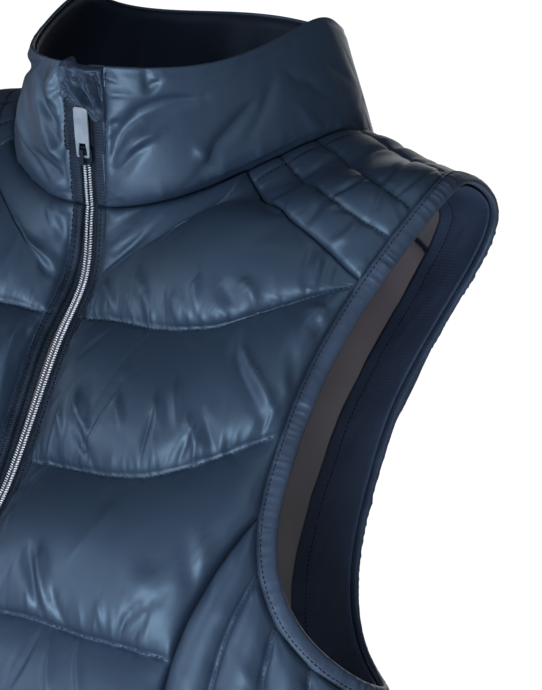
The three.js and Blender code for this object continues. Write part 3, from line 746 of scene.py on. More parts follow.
def bumps(material, layers):
    """Bump layers, each (kind, scale, direction or detail, depth in mm, strength)."""
    tree, shader = nodes_of(material)
    place = tree.nodes.new("ShaderNodeTexCoord")
    normal = None
    for kind, scale, option, depth, strength in layers:
        if kind == "noise":
            node = texture(tree, "ShaderNodeTexNoise", place.outputs["Object"], Scale=scale, Detail=option)
        else:
            node = texture(tree, "ShaderNodeTexWave", place.outputs["Object"], Scale=scale, Distortion=0.6)
            node.bands_direction = option
            node.inputs["Detail"].default_value = 1.0
        bump = tree.nodes.new("ShaderNodeBump")
        bump.inputs["Distance"].default_value = depth * MM
        bump.inputs["Strength"].default_value = strength
        tree.links.new(node.outputs["Fac"], bump.inputs["Height"])
        if normal is not None:
            tree.links.new(normal, bump.inputs["Normal"])
        normal = bump.outputs["Normal"]
    tree.links.new(normal, shader.inputs["Normal"])


def cloth(name, tones, layers, **settings):
    """tones has the settings of vary, layers those of bumps."""
    material = base_material(name, **settings)
    vary(material, *tones)
    bumps(material, layers)
    return material


BLUE_SHEEN = (0.47, 0.72, 1.0, 1)
DULL = {"Specular_Tint": BLUE_SHEEN, "Specular_IOR_Level": 0.3}
WEAVE = 520.0  # 0.6 mm from wave to wave

shell = cloth("navy_nylon", (6.0, (0.008, 0.016, 0.034), (0.012, 0.022, 0.045)), [
    ("noise", 60.0, 5.0, 1.0, 0.26),
    ("noise", 300.0, 4.0, 0.2, 0.28),
    ("wave", WEAVE, "X", 0.05, 0.2),
    ("wave", WEAVE, "Z", 0.05, 0.2),
], Specular_IOR_Level=0.75, Specular_Tint=BLUE_SHEEN)
rough(shell, 14.0, 0.45, 0.58)

placket = cloth("navy_placket", (90.0, (0.003, 0.005, 0.011), (0.008, 0.013, 0.026)), [
    ("noise", 300.0, 3.0, 0.3, 0.4),
    ("wave", 260.0, "Z", 0.25, 0.6),
], Roughness=0.6, **DULL)

inside = cloth("inside_cloth", (12.0, (0.08, 0.08, 0.10), (0.12, 0.12, 0.14)), [
    ("noise", 60.0, 3.0, 0.8, 0.4),
    ("wave", WEAVE, "X", 0.05, 0.3),
], Roughness=0.6)

lining = cloth("grey_lining", (9.0, (0.13, 0.12, 0.145), (0.21, 0.195, 0.23)), [
    ("noise", 45.0, 3.0, 1.2, 0.4),
    ("wave", WEAVE, "Z", 0.05, 0.3),
], Roughness=0.5)

facing = cloth("navy_facing", (30.0, (0.018, 0.028, 0.060), (0.026, 0.040, 0.082)), [
    ("noise", 110.0, 4.0, 0.8, 0.4),
    ("wave", 380.0, "X", 0.12, 0.5),
    ("wave", 380.0, "Z", 0.12, 0.5),
], Roughness=0.66, **DULL)

crumpled = cloth("guard_navy", (160.0, (0.007, 0.012, 0.026), (0.018, 0.029, 0.058)), [
    ("noise", 420.0, 4.0, 0.4, 0.5),
], Roughness=0.52, Specular_Tint=BLUE_SHEEN)

# The collar's inner cloth: the navy shell cloth made darker, a painted shade for the inside of the collar
shaded_inner_navy = cloth("inner_collar_navy_painted_shade", (20.0, (0.005, 0.007, 0.015), (0.008, 0.011, 0.022)), [
    ("noise", 90.0, 4.0, 0.8, 0.4),
    ("wave", WEAVE, "Z", 0.05, 0.3),
], Roughness=0.6, **DULL)

# The binding's own navy, made lighter than the shell cloth: a painted sheen for the highlights on its
# gathers
binding = cloth("navy_binding_painted_sheen", (40.0, (0.014, 0.022, 0.042), (0.022, 0.034, 0.064)), [
    ("noise", 220.0, 4.0, 0.6, 0.6),
    ("wave", WEAVE, "X", 0.06, 0.3),
], Roughness=0.55, Specular_Tint=BLUE_SHEEN)

tape = cloth("black_tape", (60.0, (0.002, 0.003, 0.007), (0.005, 0.007, 0.013)), [
    ("wave", 300.0, "X", 0.2, 0.7),
    ("wave", 150.0, "Z", 0.2, 0.6),
], Roughness=0.75, **DULL)

steel = cloth("brushed_tab", (140.0, (0.13, 0.17, 0.225), (0.19, 0.24, 0.305)), [
    ("wave", 900.0, "X", 0.03, 0.25),
    ("noise", 500.0, 3.0, 0.05, 0.3),
], Metallic=0.3)
rough(steel, 160.0, 0.36, 0.5)

teeth = base_material("silver_coil", Base_Color=(0.50, 0.57, 0.68, 1), Metallic=0.3)
rough(teeth, 300.0, 0.22, 0.34)

# Navy thread, made darker than the cloth: partly its own colour, partly a painted shade for the stitch
# lines' valleys
thread = base_material("navy_thread_and_painted_shade", Roughness=0.9, Specular_IOR_Level=0.1)
vary(thread, 200.0, (0.003, 0.005, 0.010), (0.005, 0.008, 0.016))

painted = base_material("painted_slider", Base_Color=(0.005, 0.008, 0.016, 1), **DULL)
rough(painted, 120.0, 0.28, 0.42)
bumps(painted, [("noise", 400.0, 2.0, 0.1, 0.3)])


# Quilted panels
sewing = Sewing()
INNER_STEP = 4


def baffle_rows(count, steps):
    """Row places that crowd towards the stitch lines."""
    k = np.arange(steps) / steps
    one = mix(k, (1 - np.cos(np.pi * k)) / 2, 0.55)
    return np.concatenate([*[one + i for i in range(count)], [float(count)]])


def baffle_profile(v):
    """Height between two stitch lines. It is fullest below the middle."""
    low = np.clip(v, 0, 1) ** 1.4
    return np.maximum(1 - np.abs(1 - 2 * low) ** 2.3, 0) ** 0.62


# Pleats: spacing, width, height, reach, slant. At a stitch line, above and below it
PUCKERS_ABOVE = [
    (13, 2.2, 1.3, 18, 0.2),
    (6.0, 1.6, 1.1, 10, 0.25),
    (2.6, 0.9, 0.8, 4.5, 0.3),
]
PUCKERS_BELOW = [(9, 1.8, 0.6, 8, 0.4), (2.8, 0.9, 0.5, 2.5, 0.3)]
# Beside the zip, at a panel's outer edges, and beside the stitch lines of sides and yokes
ZIP_PUCKERS = [(6.5, 1.8, 1.3, 9, 0.5), (3.4, 1.1, 0.7, 4, 0.3)]
EDGE_PUCKERS = [(6.5, 1.6, 0.9, 7, 0.4)]
SIDE_PUCKERS = [(16, 2.6, 1.5, 9, 0.7), (6, 1.3, 0.7, 4, 0.5)]
YOKE_PUCKERS = [(9, 2.0, 0.8, 6, 0.5), (3.4, 1.0, 0.45, 3, 0.4)]
# Slanting folds: count, turns, levels, reach, width, height
FRONT_SCATTER = [(18, (8, 62), (4.4, 7.8), 16, 3.6, 1.6), (70, (8, 64), (0.3, 7.8), 11, 1.3, 0.55)]
BACK_SCATTER = [(60, (118, 242), (0.6, 7.8), 16, 3.8, 1.7), (90, (118, 242), (0.4, 7.8), 12, 1.8, 0.6)]
# Reach of the padding's rise in mm, from the zip, an outer edge, a yoke and the back's edges
RISE_ZIP = 20
RISE_EDGE = 18
RISE_YOKE = 30
RISE_BACK = 34
# Length in mm at which a panel's first baffle has its full height
FRONT_FULL = 78
BACK_FULL = 80
FOLD_GAIN = 1.25
GROOVE_DEPTH = 0.45
GROOVE_WIDTH = 1.1


def groove(distance):
    return GROOVE_DEPTH * np.exp(-(distance / GROOVE_WIDTH) ** 2)


def quilted(rng, baffle, across, down, edges, count):
    """Heights and puckers of a panel of baffles. edges lists distances to its unquilted
    borders with the reach of the curve there."""
    index = np.clip(np.floor(baffle).astype(int), 0, count - 1)
    puff = BAFFLE_PUFF * baffle_profile(baffle - index)
    for distance, reach in edges:
        puff = puff * dome(distance, reach)
    swell = np.zeros_like(puff)
    for k in range(count):
        mine = index == k
        swell[mine] = wander(across[mine] + 300 * k, 150, rng)
    puff = puff * (1 + 0.08 * swell)
    small = np.zeros_like(puff)
    for k in range(count + 1):
        line = down[int(np.argmin(np.abs(baffle[:, 0] - k)))][None, :]
        above = np.where((baffle <= k) & (baffle > k - 1), line - down, np.inf)
        below = np.where((baffle >= k) & (baffle < k + 1), down - line, np.inf)
        if k > 0:
            small += puckers(rng, across, above, PUCKERS_ABOVE)
        if k < count:
            small += puckers(rng, across, below, PUCKERS_BELOW)
        if 0 < k < count:
            small -= groove(np.minimum(above, below))
    return puff, small


def short_first(puff, baffle, length, full):
    """The first baffle is as full as its length allows, and calmer where it is short."""
    first = (length / full).clip(0.05, 1)[None, :]
    calm = np.where(baffle < 1, np.clip(first * 1.6, 0.2, 1), 1)
    return puff * np.where(baffle < 1, first, 1), calm


def channels(rng, place, across, down, count, steps, rows, depth):
    """Puckers on both sides of every stitch line down a panel, and the grooves there."""
    small = np.zeros_like(place)
    for k in range(count + 1):
        off = across - across[:, k * steps:k * steps + 1]
        right = np.where((off >= 0) & (place <= k + 1), off, np.inf)
        left = np.where((off <= 0) & (place >= k - 1), -off, np.inf)
        small += puckers(rng, down, right, rows) + puckers(rng, down, left, rows)
        if 0 < k < count:
            small -= depth * groove(np.minimum(right, left))
    return small


def channel_round(place, count, bend=1.0):
    """The round of a channel, 0 at its stitch lines and 1 between them."""
    share = np.clip(place - np.floor(np.minimum(place, count - 1e-6)), 0, 1)
    return np.maximum(np.sin(np.pi * share**bend), 0) ** 0.62


def padded_wall(name, points, normals, height, mirror=False, strip=0):
    """A panel from its heights over the form. Returns it with its outer points."""
    outer = points + normals * np.maximum(height, THINNEST)[..., None]
    inner = points[::INNER_STEP, ::INNER_STEP]
    looks = [shell, inside, placket] if strip else [shell, inside]
    return closed_wall(name, outer, inner, INNER_STEP, looks, mirror, strip), outer


FRONT_STEPS = 32
FRONT_COLUMNS = {"left": 301, "right": 161}  # the left front is the one seen close
ZIP_COLUMNS = 8  # columns of the flat strip beside the zip

# Folds of the two fronts: places as (turn, level) pairs, width, height
LEFT_FOLDS = [
    ([(4.2, 0.39), (10.0, 0.20), (17.2, 0.0)], 1.6, -1.8),
    ([(5.0, 0.16), (7.5, 0.09), (13.2, 0.0)], 5.0, 2.6),
    ([(4.6, 0.86), (8.5, 0.64), (13.0, 0.44), (16.5, 0.22)], 3.6, 3.0),
    ([(8.0, 1.04), (11.5, 0.84), (15.2, 0.64), (20.8, 0.29)], 2.0, -2.2),
    ([(11.6, 1.25), (22.8, 1.95)], 1.7, 2.0),
    ([(27.0, 1.68), (31.0, 1.98), (36.2, 2.26)], 2.2, 2.6),
    ([(45.0, 2.20), (48.4, 2.46)], 1.4, 1.8),
    ([(51.0, 2.34), (53.5, 2.45), (56.9, 2.57)], 3.2, -2.4),
    ([(54.0, 2.37), (57.0, 2.46), (59.6, 2.61)], 2.6, 2.8),
    ([(40.8, 2.22), (44.3, 2.45)], 1.5, 1.7),
    ([(37.2, 2.14), (42.3, 2.44)], 1.3, -1.5),
    ([(24.4, 1.80), (30.8, 2.19)], 1.4, 1.4),
    ([(61.8, 2.22), (63.0, 2.38), (65.0, 2.54)], 1.8, -1.8),
    ([(63.6, 2.28), (65.2, 2.46)], 2.0, 1.5),
    ([(65.0, 2.33), (66.2, 2.51)], 1.5, -1.5),
    ([(67.0, 2.38), (67.6, 2.49)], 1.3, -1.2),
    ([(51.0, 1.60), (53.0, 1.80), (56.0, 1.90)], 2.2, -1.4),
    ([(16.6, 2.23), (19.8, 2.17), (23.2, 2.10)], 1.3, -1.2),
    ([(59.2, 2.74), (62.2, 2.87), (65.0, 2.98), (69.4, 3.20)], 2.0, 3.2),
    ([(57.2, 2.62), (59.4, 2.79), (61.2, 2.88), (68.0, 3.22)], 3.6, -2.6),
    ([(67.3, 2.94), (70.0, 3.12)], 2.0, 1.6),
    ([(65.8, 2.60), (67.8, 2.62), (70.2, 2.71)], 1.9, 2.4),
    ([(66.6, 2.67), (71.4, 2.78)], 3.2, -2.4),
    ([(66.0, 2.76), (70.2, 3.04)], 3.2, -1.8),
    ([(23.4, 2.56), (28.0, 2.74), (36.0, 3.04)], 2.8, 3.0),
    ([(27.4, 2.76), (33.0, 3.00), (39.0, 3.24)], 2.6, -2.4),
    ([(17.2, 2.55), (23.7, 2.83)], 1.6, 1.5),
    ([(39.2, 2.81), (44.4, 3.07)], 1.6, 1.7),
    ([(50.8, 3.34), (50.4, 3.06)], 1.2, -1.4),
    ([(57.0, 3.37), (57.8, 3.28), (58.6, 3.19)], 1.5, -1.8),
    ([(57.0, 3.14), (60.2, 3.31)], 2.4, 2.0),
    ([(58.8, 3.12), (62.7, 3.32)], 2.2, -1.8),
    ([(63.3, 3.26), (65.4, 3.35)], 1.8, -1.8),
    ([(51.8, 2.88), (56.0, 3.18)], 2.0, 1.2),
    ([(48.8, 2.93), (53.4, 3.18)], 2.0, 1.2),
    ([(49.5, 3.54), (47.5, 3.74), (43.8, 3.91)], 6.0, 2.0),
    ([(64.4, 3.73), (66.7, 3.90)], 2.6, 2.2),
    ([(62.6, 3.72), (65.4, 3.97)], 3.4, -2.2),
    ([(55.6, 4.24), (56.6, 4.14), (58.2, 4.09), (62.4, 4.00)], 1.8, -2.2),
    ([(56.0, 4.02), (60.5, 3.92)], 6.5, 1.8),
    ([(30.4, 3.80), (34.0, 3.96), (38.2, 4.16)], 2.6, -2.8),
    ([(34.6, 3.81), (37.0, 3.96), (40.4, 4.17)], 2.6, 2.8),
    ([(13.8, 2.89), (15.4, 3.20), (16.0, 3.44), (14.0, 3.70)], 1.6, -1.8),
    ([(8.2, 2.97), (11.0, 3.14), (12.4, 3.30)], 3.0, 2.0),
    ([(40.8, 4.04), (45.0, 4.22)], 2.0, -2.0),
    ([(51.8, 4.06), (53.2, 4.22)], 1.6, 1.3),
    ([(60.2, 4.10), (57.6, 4.24)], 1.6, -1.4),
    ([(48.0, 4.26), (49.0, 4.40), (50.2, 4.54)], 1.6, 1.8),
    ([(41.6, 4.28), (43.7, 4.56)], 2.2, 1.6),
    ([(38.4, 4.22), (36.0, 4.40), (33.0, 4.57)], 1.8, -1.8),
    ([(66.6, 3.42), (70.0, 3.58)], 1.6, 1.0),
]
RIGHT_FOLDS = [
    ([(13.0, 0.0), (10.6, 0.30), (8.6, 0.58)], 1.5, 2.2),
    ([(12.2, 0.04), (8.0, 0.14), (4.3, 0.28)], 3.4, 2.8),
    ([(11.0, 0.34), (6.0, 0.52)], 3.0, -2.2),
    ([(17.2, 0.88), (12.0, 0.90), (6.6, 1.00)], 3.6, 3.2),
    ([(14.0, 1.16), (7.6, 1.24)], 3.2, -2.2),
    ([(12.4, 1.90), (11.0, 2.20), (9.0, 2.52)], 3.0, 2.0),
    ([(9.4, 1.72), (7.6, 2.02)], 2.0, -2.0),
]


def front_panel(name, seed, table, mirror, columns):
    rng = np.random.default_rng(seed)
    width = np.concatenate([np.linspace(0, 1, ZIP_COLUMNS + 1)[:-1], np.linspace(1, 10, columns)])
    column, baffle = np.meshgrid(width, baffle_rows(8, FRONT_STEPS))
    turn, level = front_places(column, baffle)
    points = body_point(turn, level)
    normals = body_normal(turn, level)
    across, down = lengths(points)
    from_zip = across - across[:, ZIP_COLUMNS:ZIP_COLUMNS + 1]
    from_edge = across[:, -1:] - across
    from_yoke = np.where(baffle < 1, down + RISE_YOKE * smooth(4.5 - column), np.inf)
    edges = [(np.maximum(from_zip, 0), RISE_ZIP), (from_edge, RISE_EDGE), (from_yoke, RISE_YOKE)]
    puff, small = quilted(rng, baffle, across, down, edges, 8)
    puff, calm = short_first(puff, baffle, down[FRONT_STEPS], FRONT_FULL)
    small += puckers(rng, down, np.where(from_zip >= 0, from_zip, np.inf), ZIP_PUCKERS)
    small += puckers(rng, down, from_edge, EDGE_PUCKERS)
    wide = folds(points, body_point, table) + scatter(rng, points, FRONT_SCATTER)
    free = smooth(np.clip(from_zip, 0, None) / 5) * smooth(from_edge / 5)
    border = np.minimum(np.minimum(across, from_edge), np.minimum(down, down[-1:] - down))
    quilt = np.clip(puff / BAFFLE_PUFF, 0, 1)
    height = border_height(border) + puff + small * calm * dome(from_edge, 3)
    height = height + FOLD_GAIN * wide * free * (0.35 + 0.65 * quilt) - groove(from_zip)
    obj, outer = padded_wall(name, points, normals, height, mirror, ZIP_COLUMNS)
    for row in range(FRONT_STEPS, 8 * FRONT_STEPS, FRONT_STEPS):
        sewing.run(outer[row, ZIP_COLUMNS:], normals[row, ZIP_COLUMNS:], mirror)
    sewing.run(outer[:, ZIP_COLUMNS], normals[:, ZIP_COLUMNS], mirror, EDGE_LIFT)
    sewing.run(mix(outer[:, 4], outer[:, 5], 0.2), normals[:, 4], mirror, EDGE_LIFT)
    return obj


BACK_STEPS = 28
BACK_COLUMNS = 121  # from a side seam to the middle


def back_panel(name, seed):
    rng = np.random.default_rng(seed)
    half = np.linspace(0, 9, BACK_COLUMNS)
    column, baffle = np.meshgrid(np.concatenate([half, 9 + half[1:]]), baffle_rows(9, BACK_STEPS))
    turn, level = back_places(column, baffle)
    points = body_point(turn, level)
    normals = body_normal(turn, level)
    across, down = lengths(points)
    to_right = across[:, -1:] - across
    from_edge = np.minimum(across, to_right)
    from_yoke = np.where((np.minimum(column, 18 - column) <= 6) & (baffle < 1), down, np.inf)
    edges = [(from_edge, RISE_BACK), (from_yoke, RISE_YOKE)]
    puff, small = quilted(rng, baffle, across, down, edges, 9)
    puff, calm = short_first(puff, baffle, down[BACK_STEPS], BACK_FULL)
    small += puckers(rng, down, across, EDGE_PUCKERS) + puckers(rng, down, to_right, EDGE_PUCKERS)
    wide = scatter(rng, points, BACK_SCATTER)
    border = np.minimum(from_edge, np.minimum(down, down[-1:] - down))
    quilt = np.clip(puff / BAFFLE_PUFF, 0, 1)
    height = border_height(border) + puff + small * calm * dome(from_edge, 3)
    height = height + wide * smooth(from_edge / 5) * (0.3 + 0.7 * quilt)
    obj, outer = padded_wall(name, points, normals, height)
    for row in range(BACK_STEPS, 9 * BACK_STEPS, BACK_STEPS):
        sewing.run(outer[row], normals[row])
    return obj


SIDE_STEPS = 14
SIDE_ROWS = 161


def side_panel(name, seed, mirror):
    rng = np.random.default_rng(seed)
    across_share = np.linspace(0, 1, SIDE_CHANNELS * SIDE_STEPS + 1)
    channel, share = np.meshgrid(across_share, np.linspace(0, 1, SIDE_ROWS))
    turn, level = side_places(channel, share)
    points = body_point(turn, level)
    normals = body_normal(turn, level)
    across, down = lengths(points)
    place = channel * SIDE_CHANNELS
    from_hem = down[-1:] - down
    from_edge = np.minimum(across, across[:, -1:] - across)
    wide = np.maximum(across[:, -1:], 30) / SIDE_CHANNELS
    puff = np.minimum(CHANNEL_PUFF, wide * 0.42) * channel_round(place, SIDE_CHANNELS)
    puff = puff * dome(down, 16) * mix(0.55, 1, dome(from_hem, 14))
    small = channels(rng, place, across, down, SIDE_CHANNELS, SIDE_STEPS, SIDE_PUCKERS, 1.0)
    puff = puff * (1 + 0.06 * wander(down + 70 * np.floor(place), 110, rng))
    border = np.minimum(from_edge, np.minimum(down, from_hem))
    height = border_height(border) + puff + small * dome(from_edge, 3) * dome(down, 8)
    obj, outer = padded_wall(name, points, normals, height, mirror)
    for column in range(SIDE_STEPS, SIDE_CHANNELS * SIDE_STEPS, SIDE_STEPS):
        sewing.run(outer[:, column], normals[:, column], mirror)
    return obj


# Folds across the yoke's channels: channel, share of the way, slant, width, height
YOKE_FOLDS = [
    (0, 0.24, 0.06, 2.4, -1.6), (0, 0.46, -0.05, 3.0, -1.3), (0, 0.72, 0.05, 3.2, 1.2),
    (1, 0.22, 0.05, 2.4, -1.6), (1, 0.50, 0.10, 2.2, -1.8), (1, 0.74, -0.08, 2.6, -1.0),
    (2, 0.30, 0.05, 2.2, -1.6), (2, 0.56, -0.07, 2.2, -1.8), (2, 0.80, 0.05, 2.4, -1.0),
    (3, 0.28, 0.05, 2.4, -1.6), (3, 0.60, 0.07, 2.4, -1.4),
    (4, 0.34, 0.05, 2.4, -1.4), (4, 0.66, -0.05, 2.4, -1.4),
    (5, 0.30, 0.05, 2.4, -1.4), (5, 0.60, 0.06, 2.4, -1.4),
    (6, 0.40, 0.05, 2.4, -1.4), (6, 0.72, -0.06, 2.4, -1.2),
]

YOKE_CHANNELS = 7
YOKE_COLUMNS = 18  # in each channel
YOKE_ROWS = 121
YOKE_BAND = 10.0  # mm of plain band beside the neck


def yoke_panel(name, seed, mirror):
    rng = np.random.default_rng(seed)
    last = YOKE_CHANNELS * YOKE_COLUMNS
    line, share = np.meshgrid(np.linspace(0, YOKE_CHANNELS, last + 1), np.linspace(0, 1, YOKE_ROWS))
    turn, level = yoke_place(line, share)
    points = body_point(turn, level)
    normals = body_normal(turn, level)
    across, down = lengths(points)
    v = line - np.floor(np.minimum(line, YOKE_CHANNELS - 1e-6))
    from_arm = down[-1:] - down
    from_edge = np.minimum(across, across[:, -1:] - across)
    ridge = smooth((line - 2.0) / 1.4) * smooth((share - 0.45) / 0.35)
    puff = YOKE_PUFF * channel_round(line, YOKE_CHANNELS, 0.9)
    puff = puff * mix(0.45, 1, dome(np.maximum(down - YOKE_BAND, 0), 12)) * dome(from_arm, 12)
    puff = puff * (1 - 0.55 * ridge)
    small = channels(rng, line, across, down, YOKE_CHANNELS, YOKE_COLUMNS, YOKE_PUCKERS, 0.8)
    for channel, middle, slant, width, height in YOKE_FOLDS:
        mine = (line >= channel) & (line <= channel + 1)
        off = (share - middle - slant * (v - 0.5) - 0.04 * np.sin(3 * v + channel)) * down[-1:]
        small += np.where(mine, height * np.exp(-(off / width) ** 2) * np.sin(np.pi * v) ** 0.5, 0)
    small += pleats(rng, across, from_arm, 4, 1.3, 0.8, 6, 0.4)
    border = np.minimum(from_edge, np.minimum(down, from_arm))
    height = border_height(border) + puff + small * dome(from_edge, 3) * dome(down, 6)
    height = height - 0.6 * groove(down - YOKE_BAND)
    height = height - 1.3 * ridge * dome(np.minimum(from_edge, down), 10)
    obj, outer = padded_wall(name, points, normals, height, mirror)
    for column in range(YOKE_COLUMNS, last, YOKE_COLUMNS):
        sewing.run(outer[:, column], normals[:, column], mirror)
    row = np.argmin(np.abs(down - YOKE_BAND), axis=0)
    columns = np.arange(last + 1)
    sewing.run(outer[row, columns], normals[row, columns], mirror)
    return obj


# The collar. Its folds: places as (turn, share of the way up), width, height
COLLAR_FOLDS = [
    ([(6.4, 0.26), (7.0, 0.33), (9.5, 0.56), (13.8, 0.70), (20.2, 0.76), (28.0, 0.75)], 4.4, -4.6),
    ([(6.0, 0.25), (9.5, 0.44), (13.5, 0.54), (18.0, 0.58)], 3.4, 2.4),
    ([(6.2, 0.24), (10.0, 0.31), (12.8, 0.43), (15.5, 0.48)], 2.2, -1.8),
    ([(29.5, 0.20), (31.8, 0.37), (37.8, 0.50), (42.0, 0.60)], 4.4, -2.2),
    ([(38.6, 0.29), (44.2, 0.49), (48.5, 0.70)], 4.0, -1.4),
    ([(14.4, 1.0), (15.2, 0.87), (17.4, 0.93)], 1.7, -2.4),
    ([(26.0, 0.42), (29.4, 0.25)], 3.0, 1.3),
    ([(5.8, 0.57), (8.8, 0.66)], 1.4, -1.2),
    ([(350.5, 1.0), (345.5, 0.84), (346.5, 0.72), (350.0, 0.60), (355.0, 0.48)], 3.0, -5.4),
    ([(353.5, 0.97), (351.2, 0.82), (354.4, 0.68)], 3.2, 3.6),
    ([(336.0, 0.70), (340.5, 0.46), (345.5, 0.24)], 3.6, 3.4),
    ([(333.0, 0.56), (341.0, 0.34), (349.0, 0.16)], 2.6, -3.4),
    ([(348.6, 0.56), (356.4, 0.38)], 2.0, -2.6),
    ([(350.0, 0.44), (356.6, 0.30)], 2.0, 2.2),
    ([(345.0, 0.34), (355.0, 0.18)], 2.2, -2.2),
    ([(310.0, 0.57), (330.0, 0.80), (346.0, 0.96)], 2.6, -3.4),
]

COLLAR_COLUMNS = 401
COLLAR_ROWS = 57
COLLAR_INSIDE = -1.2  # height over the form where the rolled top edge meets the inside
COLLAR_PUCKERS = [(3.8, 1.3, 1.0, 6, 0.35), (12, 3.0, 1.2, 16, 0.5)]
# The padding thins out from these turns on, on the left and on the right, over this reach
SLIM_LEFT = 42
SLIM_RIGHT = 20
SLIM_REACH = 36


def collar_extra(rng):
    """Slanting folds over the sides and the back of the collar."""
    table = []
    for _ in range(22):
        turn = rng.uniform(60, 320)
        up = rng.uniform(0.1, 0.6)
        lean = rng.choice([-1, 1]) * rng.uniform(4, 18)
        places = [(turn, up), (turn + lean * 0.6, up + 0.1), (turn + lean, up + rng.uniform(0.2, 0.4))]
        wide = 3.4 * rng.uniform(0.6, 1.5)
        table.append((places, wide, 0.9 * rng.uniform(0.4, 1) * rng.choice([1, -1])))
    return table


def collar_inside(turn, top, out, climb, start):
    """Rows over the rolled top edge and down the plain inner face of the collar."""
    centre = (start + COLLAR_INSIDE) / 2
    radius = (start - COLLAR_INSIDE) / 2
    rows = []
    for angle in np.radians(np.linspace(0, 180, 9)[1:]):
        shift = out * (centre + radius * math.cos(angle))[:, None]
        rows.append(top + shift + climb * (radius * math.sin(angle))[:, None])
    for up, depth in ((0.985, -1.3), (0.97, -0.5)):
        rows.append(collar_point(turn[-1], np.full(COLLAR_COLUMNS, up)) + out * depth)
    for up in (0.93, 0.6, 0.3, 0.0):
        rows.append(collar_point(turn[0], np.full(COLLAR_COLUMNS, up)))
    return np.array(rows)


def collar_piece(name, seed):
    """One closed padded wall whose top edge folds over to the inside."""
    rng = np.random.default_rng(seed)
    s = np.linspace(-1, 1, COLLAR_COLUMNS)
    spread = np.sign(s) * (1 - (1 - np.abs(s)) ** 1.25)
    even = np.linspace(0, 1, COLLAR_ROWS)
    up = mix(even, (1 - np.cos(np.pi * even)) / 2, 0.4)[:, None]
    turn = 180 + spread[None, :] * (180 - collar_turn_at(ZIP_EDGE, up))
    up = up * np.ones_like(turn)
    points = collar_point(turn, up)
    normals = collar_normal(turn, up)
    across, rise = lengths(points)
    from_zip = np.minimum(across, across[:, -1:] - across)
    off = from_zip - (mix(ZIP_STITCH, COLLAR_STITCH, up) - ZIP_EDGE)
    from_top = rise[-1:] - rise
    front = np.minimum(turn, 360 - turn)
    slim = smooth((front - np.where(turn < 180, SLIM_LEFT, SLIM_RIGHT)) / SLIM_REACH)
    puff = COLLAR_PUFF * (1 - 0.85 * slim)
    puff = puff * dome(rise, 14) * smooth(from_top / 46) * dome(np.maximum(off, 0), 16)
    small = puckers(rng, across, rise, COLLAR_PUCKERS)
    along = np.where(off >= 0, off, np.inf)
    small += pleats(rng, rise + 500 * (turn > 180), along, 4, 1.3, 1.5, 9, 0.6)
    small += pleats(rng, across, from_top, 16, 3.4, 0.5, 10, 0.6)
    wide = FOLD_GAIN * folds(points, collar_point, COLLAR_FOLDS)
    wide += folds(points, collar_point, collar_extra(rng))
    height = border_height(np.minimum(from_zip, rise)) - 0.9 * (1 - smooth(from_top / 5))
    height = height - 1.1 * slim * dome(rise, 8) + puff + small * dome(rise, 2)
    height = height + wide * smooth(np.maximum(off, 0) / 5) - groove(off)
    height = np.maximum(height, THINNEST)
    outer = points + normals * height[..., None]
    climb = unit(points[-1] - points[-2])
    loop = np.concatenate([outer, collar_inside(turn, points[-1], normals[-1], climb, height[-1])])
    sections = np.swapaxes(loop, 0, 1)[::-1]
    strip = np.zeros((COLLAR_COLUMNS - 1, len(loop)), int)
    strip[:, :COLLAR_ROWS - 1] = (off.T[::-1] < -0.4)[:-1, :-1]
    looks = strip.ravel().tolist() + [0, 0]
    obj = loop_grid(name, sections, [shell, placket], closed_path=False, looks=looks)
    half = COLLAR_COLUMNS // 2
    rows = np.arange(COLLAR_ROWS)
    for first in (0, half):
        seam = first + np.argmin(np.abs(off[:, first:first + half]), axis=1)
        sewing.run(outer[rows, seam], normals[rows, seam], lift=EDGE_LIFT)
    return obj


CLOTH = 0.8  # thickness of the thin inner cloths


def thin_cloth(name, points, normals, depth, material):
    """A thin cloth at some depth behind the form."""
    outer = points - normals * depth[..., None]
    inner = (outer - normals * CLOTH)[::INNER_STEP, ::INNER_STEP]
    return closed_wall(name, outer, inner, INNER_STEP, [material, material])


INNER_COLLAR_SEAMS = [150.0, 212.0]
# Soft upright folds of the collar's inner cloth: turn, slant, width, height towards the middle
INNER_COLLAR_FOLDS = [
    (128.0, 10, 7, 2.4), (139.0, -8, 5, -1.6), (163.0, 14, 7, 2.6), (176.0, 6, 8, -1.8), (190.0, -6, 7, 2.6),
    (201.0, 10, 5, -1.4), (224.0, 12, 7, 2.2), (236.0, -10, 6, -1.4), (250.0, 8, 7, 1.8),
]


def collar_lining_piece(name, seed):
    """The collar's inner cloth, with soft folds and a seam on each side of the back."""
    rng = np.random.default_rng(seed)
    turn, up = np.meshgrid(np.linspace(3.5, 356.5, 281), np.linspace(0, 0.985, 45))
    points = collar_point(turn, up)
    normals = collar_normal(turn, up)
    across, down = lengths(points)
    across = across[:1] * np.ones_like(across)
    loose = np.sin(np.pi * np.clip(up / 0.985, 0, 1)) ** 0.7
    depth = 1.6 + 0.8 * loose * (1 + wander(across, 90, rng))
    for middle, slant, width, height in INNER_COLLAR_FOLDS:
        off = (turn - middle) * 1.15 + (up - 0.5) * slant
        depth = depth + height * loose * np.exp(-(off / width) ** 2)
    depth = depth + 0.7 * pleats(rng, across, down, 7, 2.0, 1.0, 12, 0.3)
    for seam in INNER_COLLAR_SEAMS:
        off = (turn - seam) * 1.15 + (up - 0.5) * 12
        depth = depth - 1.2 * np.exp(-(off / 1.4) ** 2)
    depth = np.maximum(depth, 1.25)
    return thin_cloth(name, points, normals, depth, shaded_inner_navy)


# Armhole trims
def armhole_path(count, grow):
    """Places at even steps round the armhole: its own angle at each."""
    dense = np.linspace(0, 360, 1441)
    turn, level = armhole(dense, grow)
    points = body_point(turn, level)
    walk = np.concatenate([[0], np.cumsum(np.linalg.norm(np.diff(points, axis=0), axis=1))])
    even = np.linspace(0, walk[-1], count + 1)[:-1]
    return np.interp(even, walk, dense), even, walk[-1]


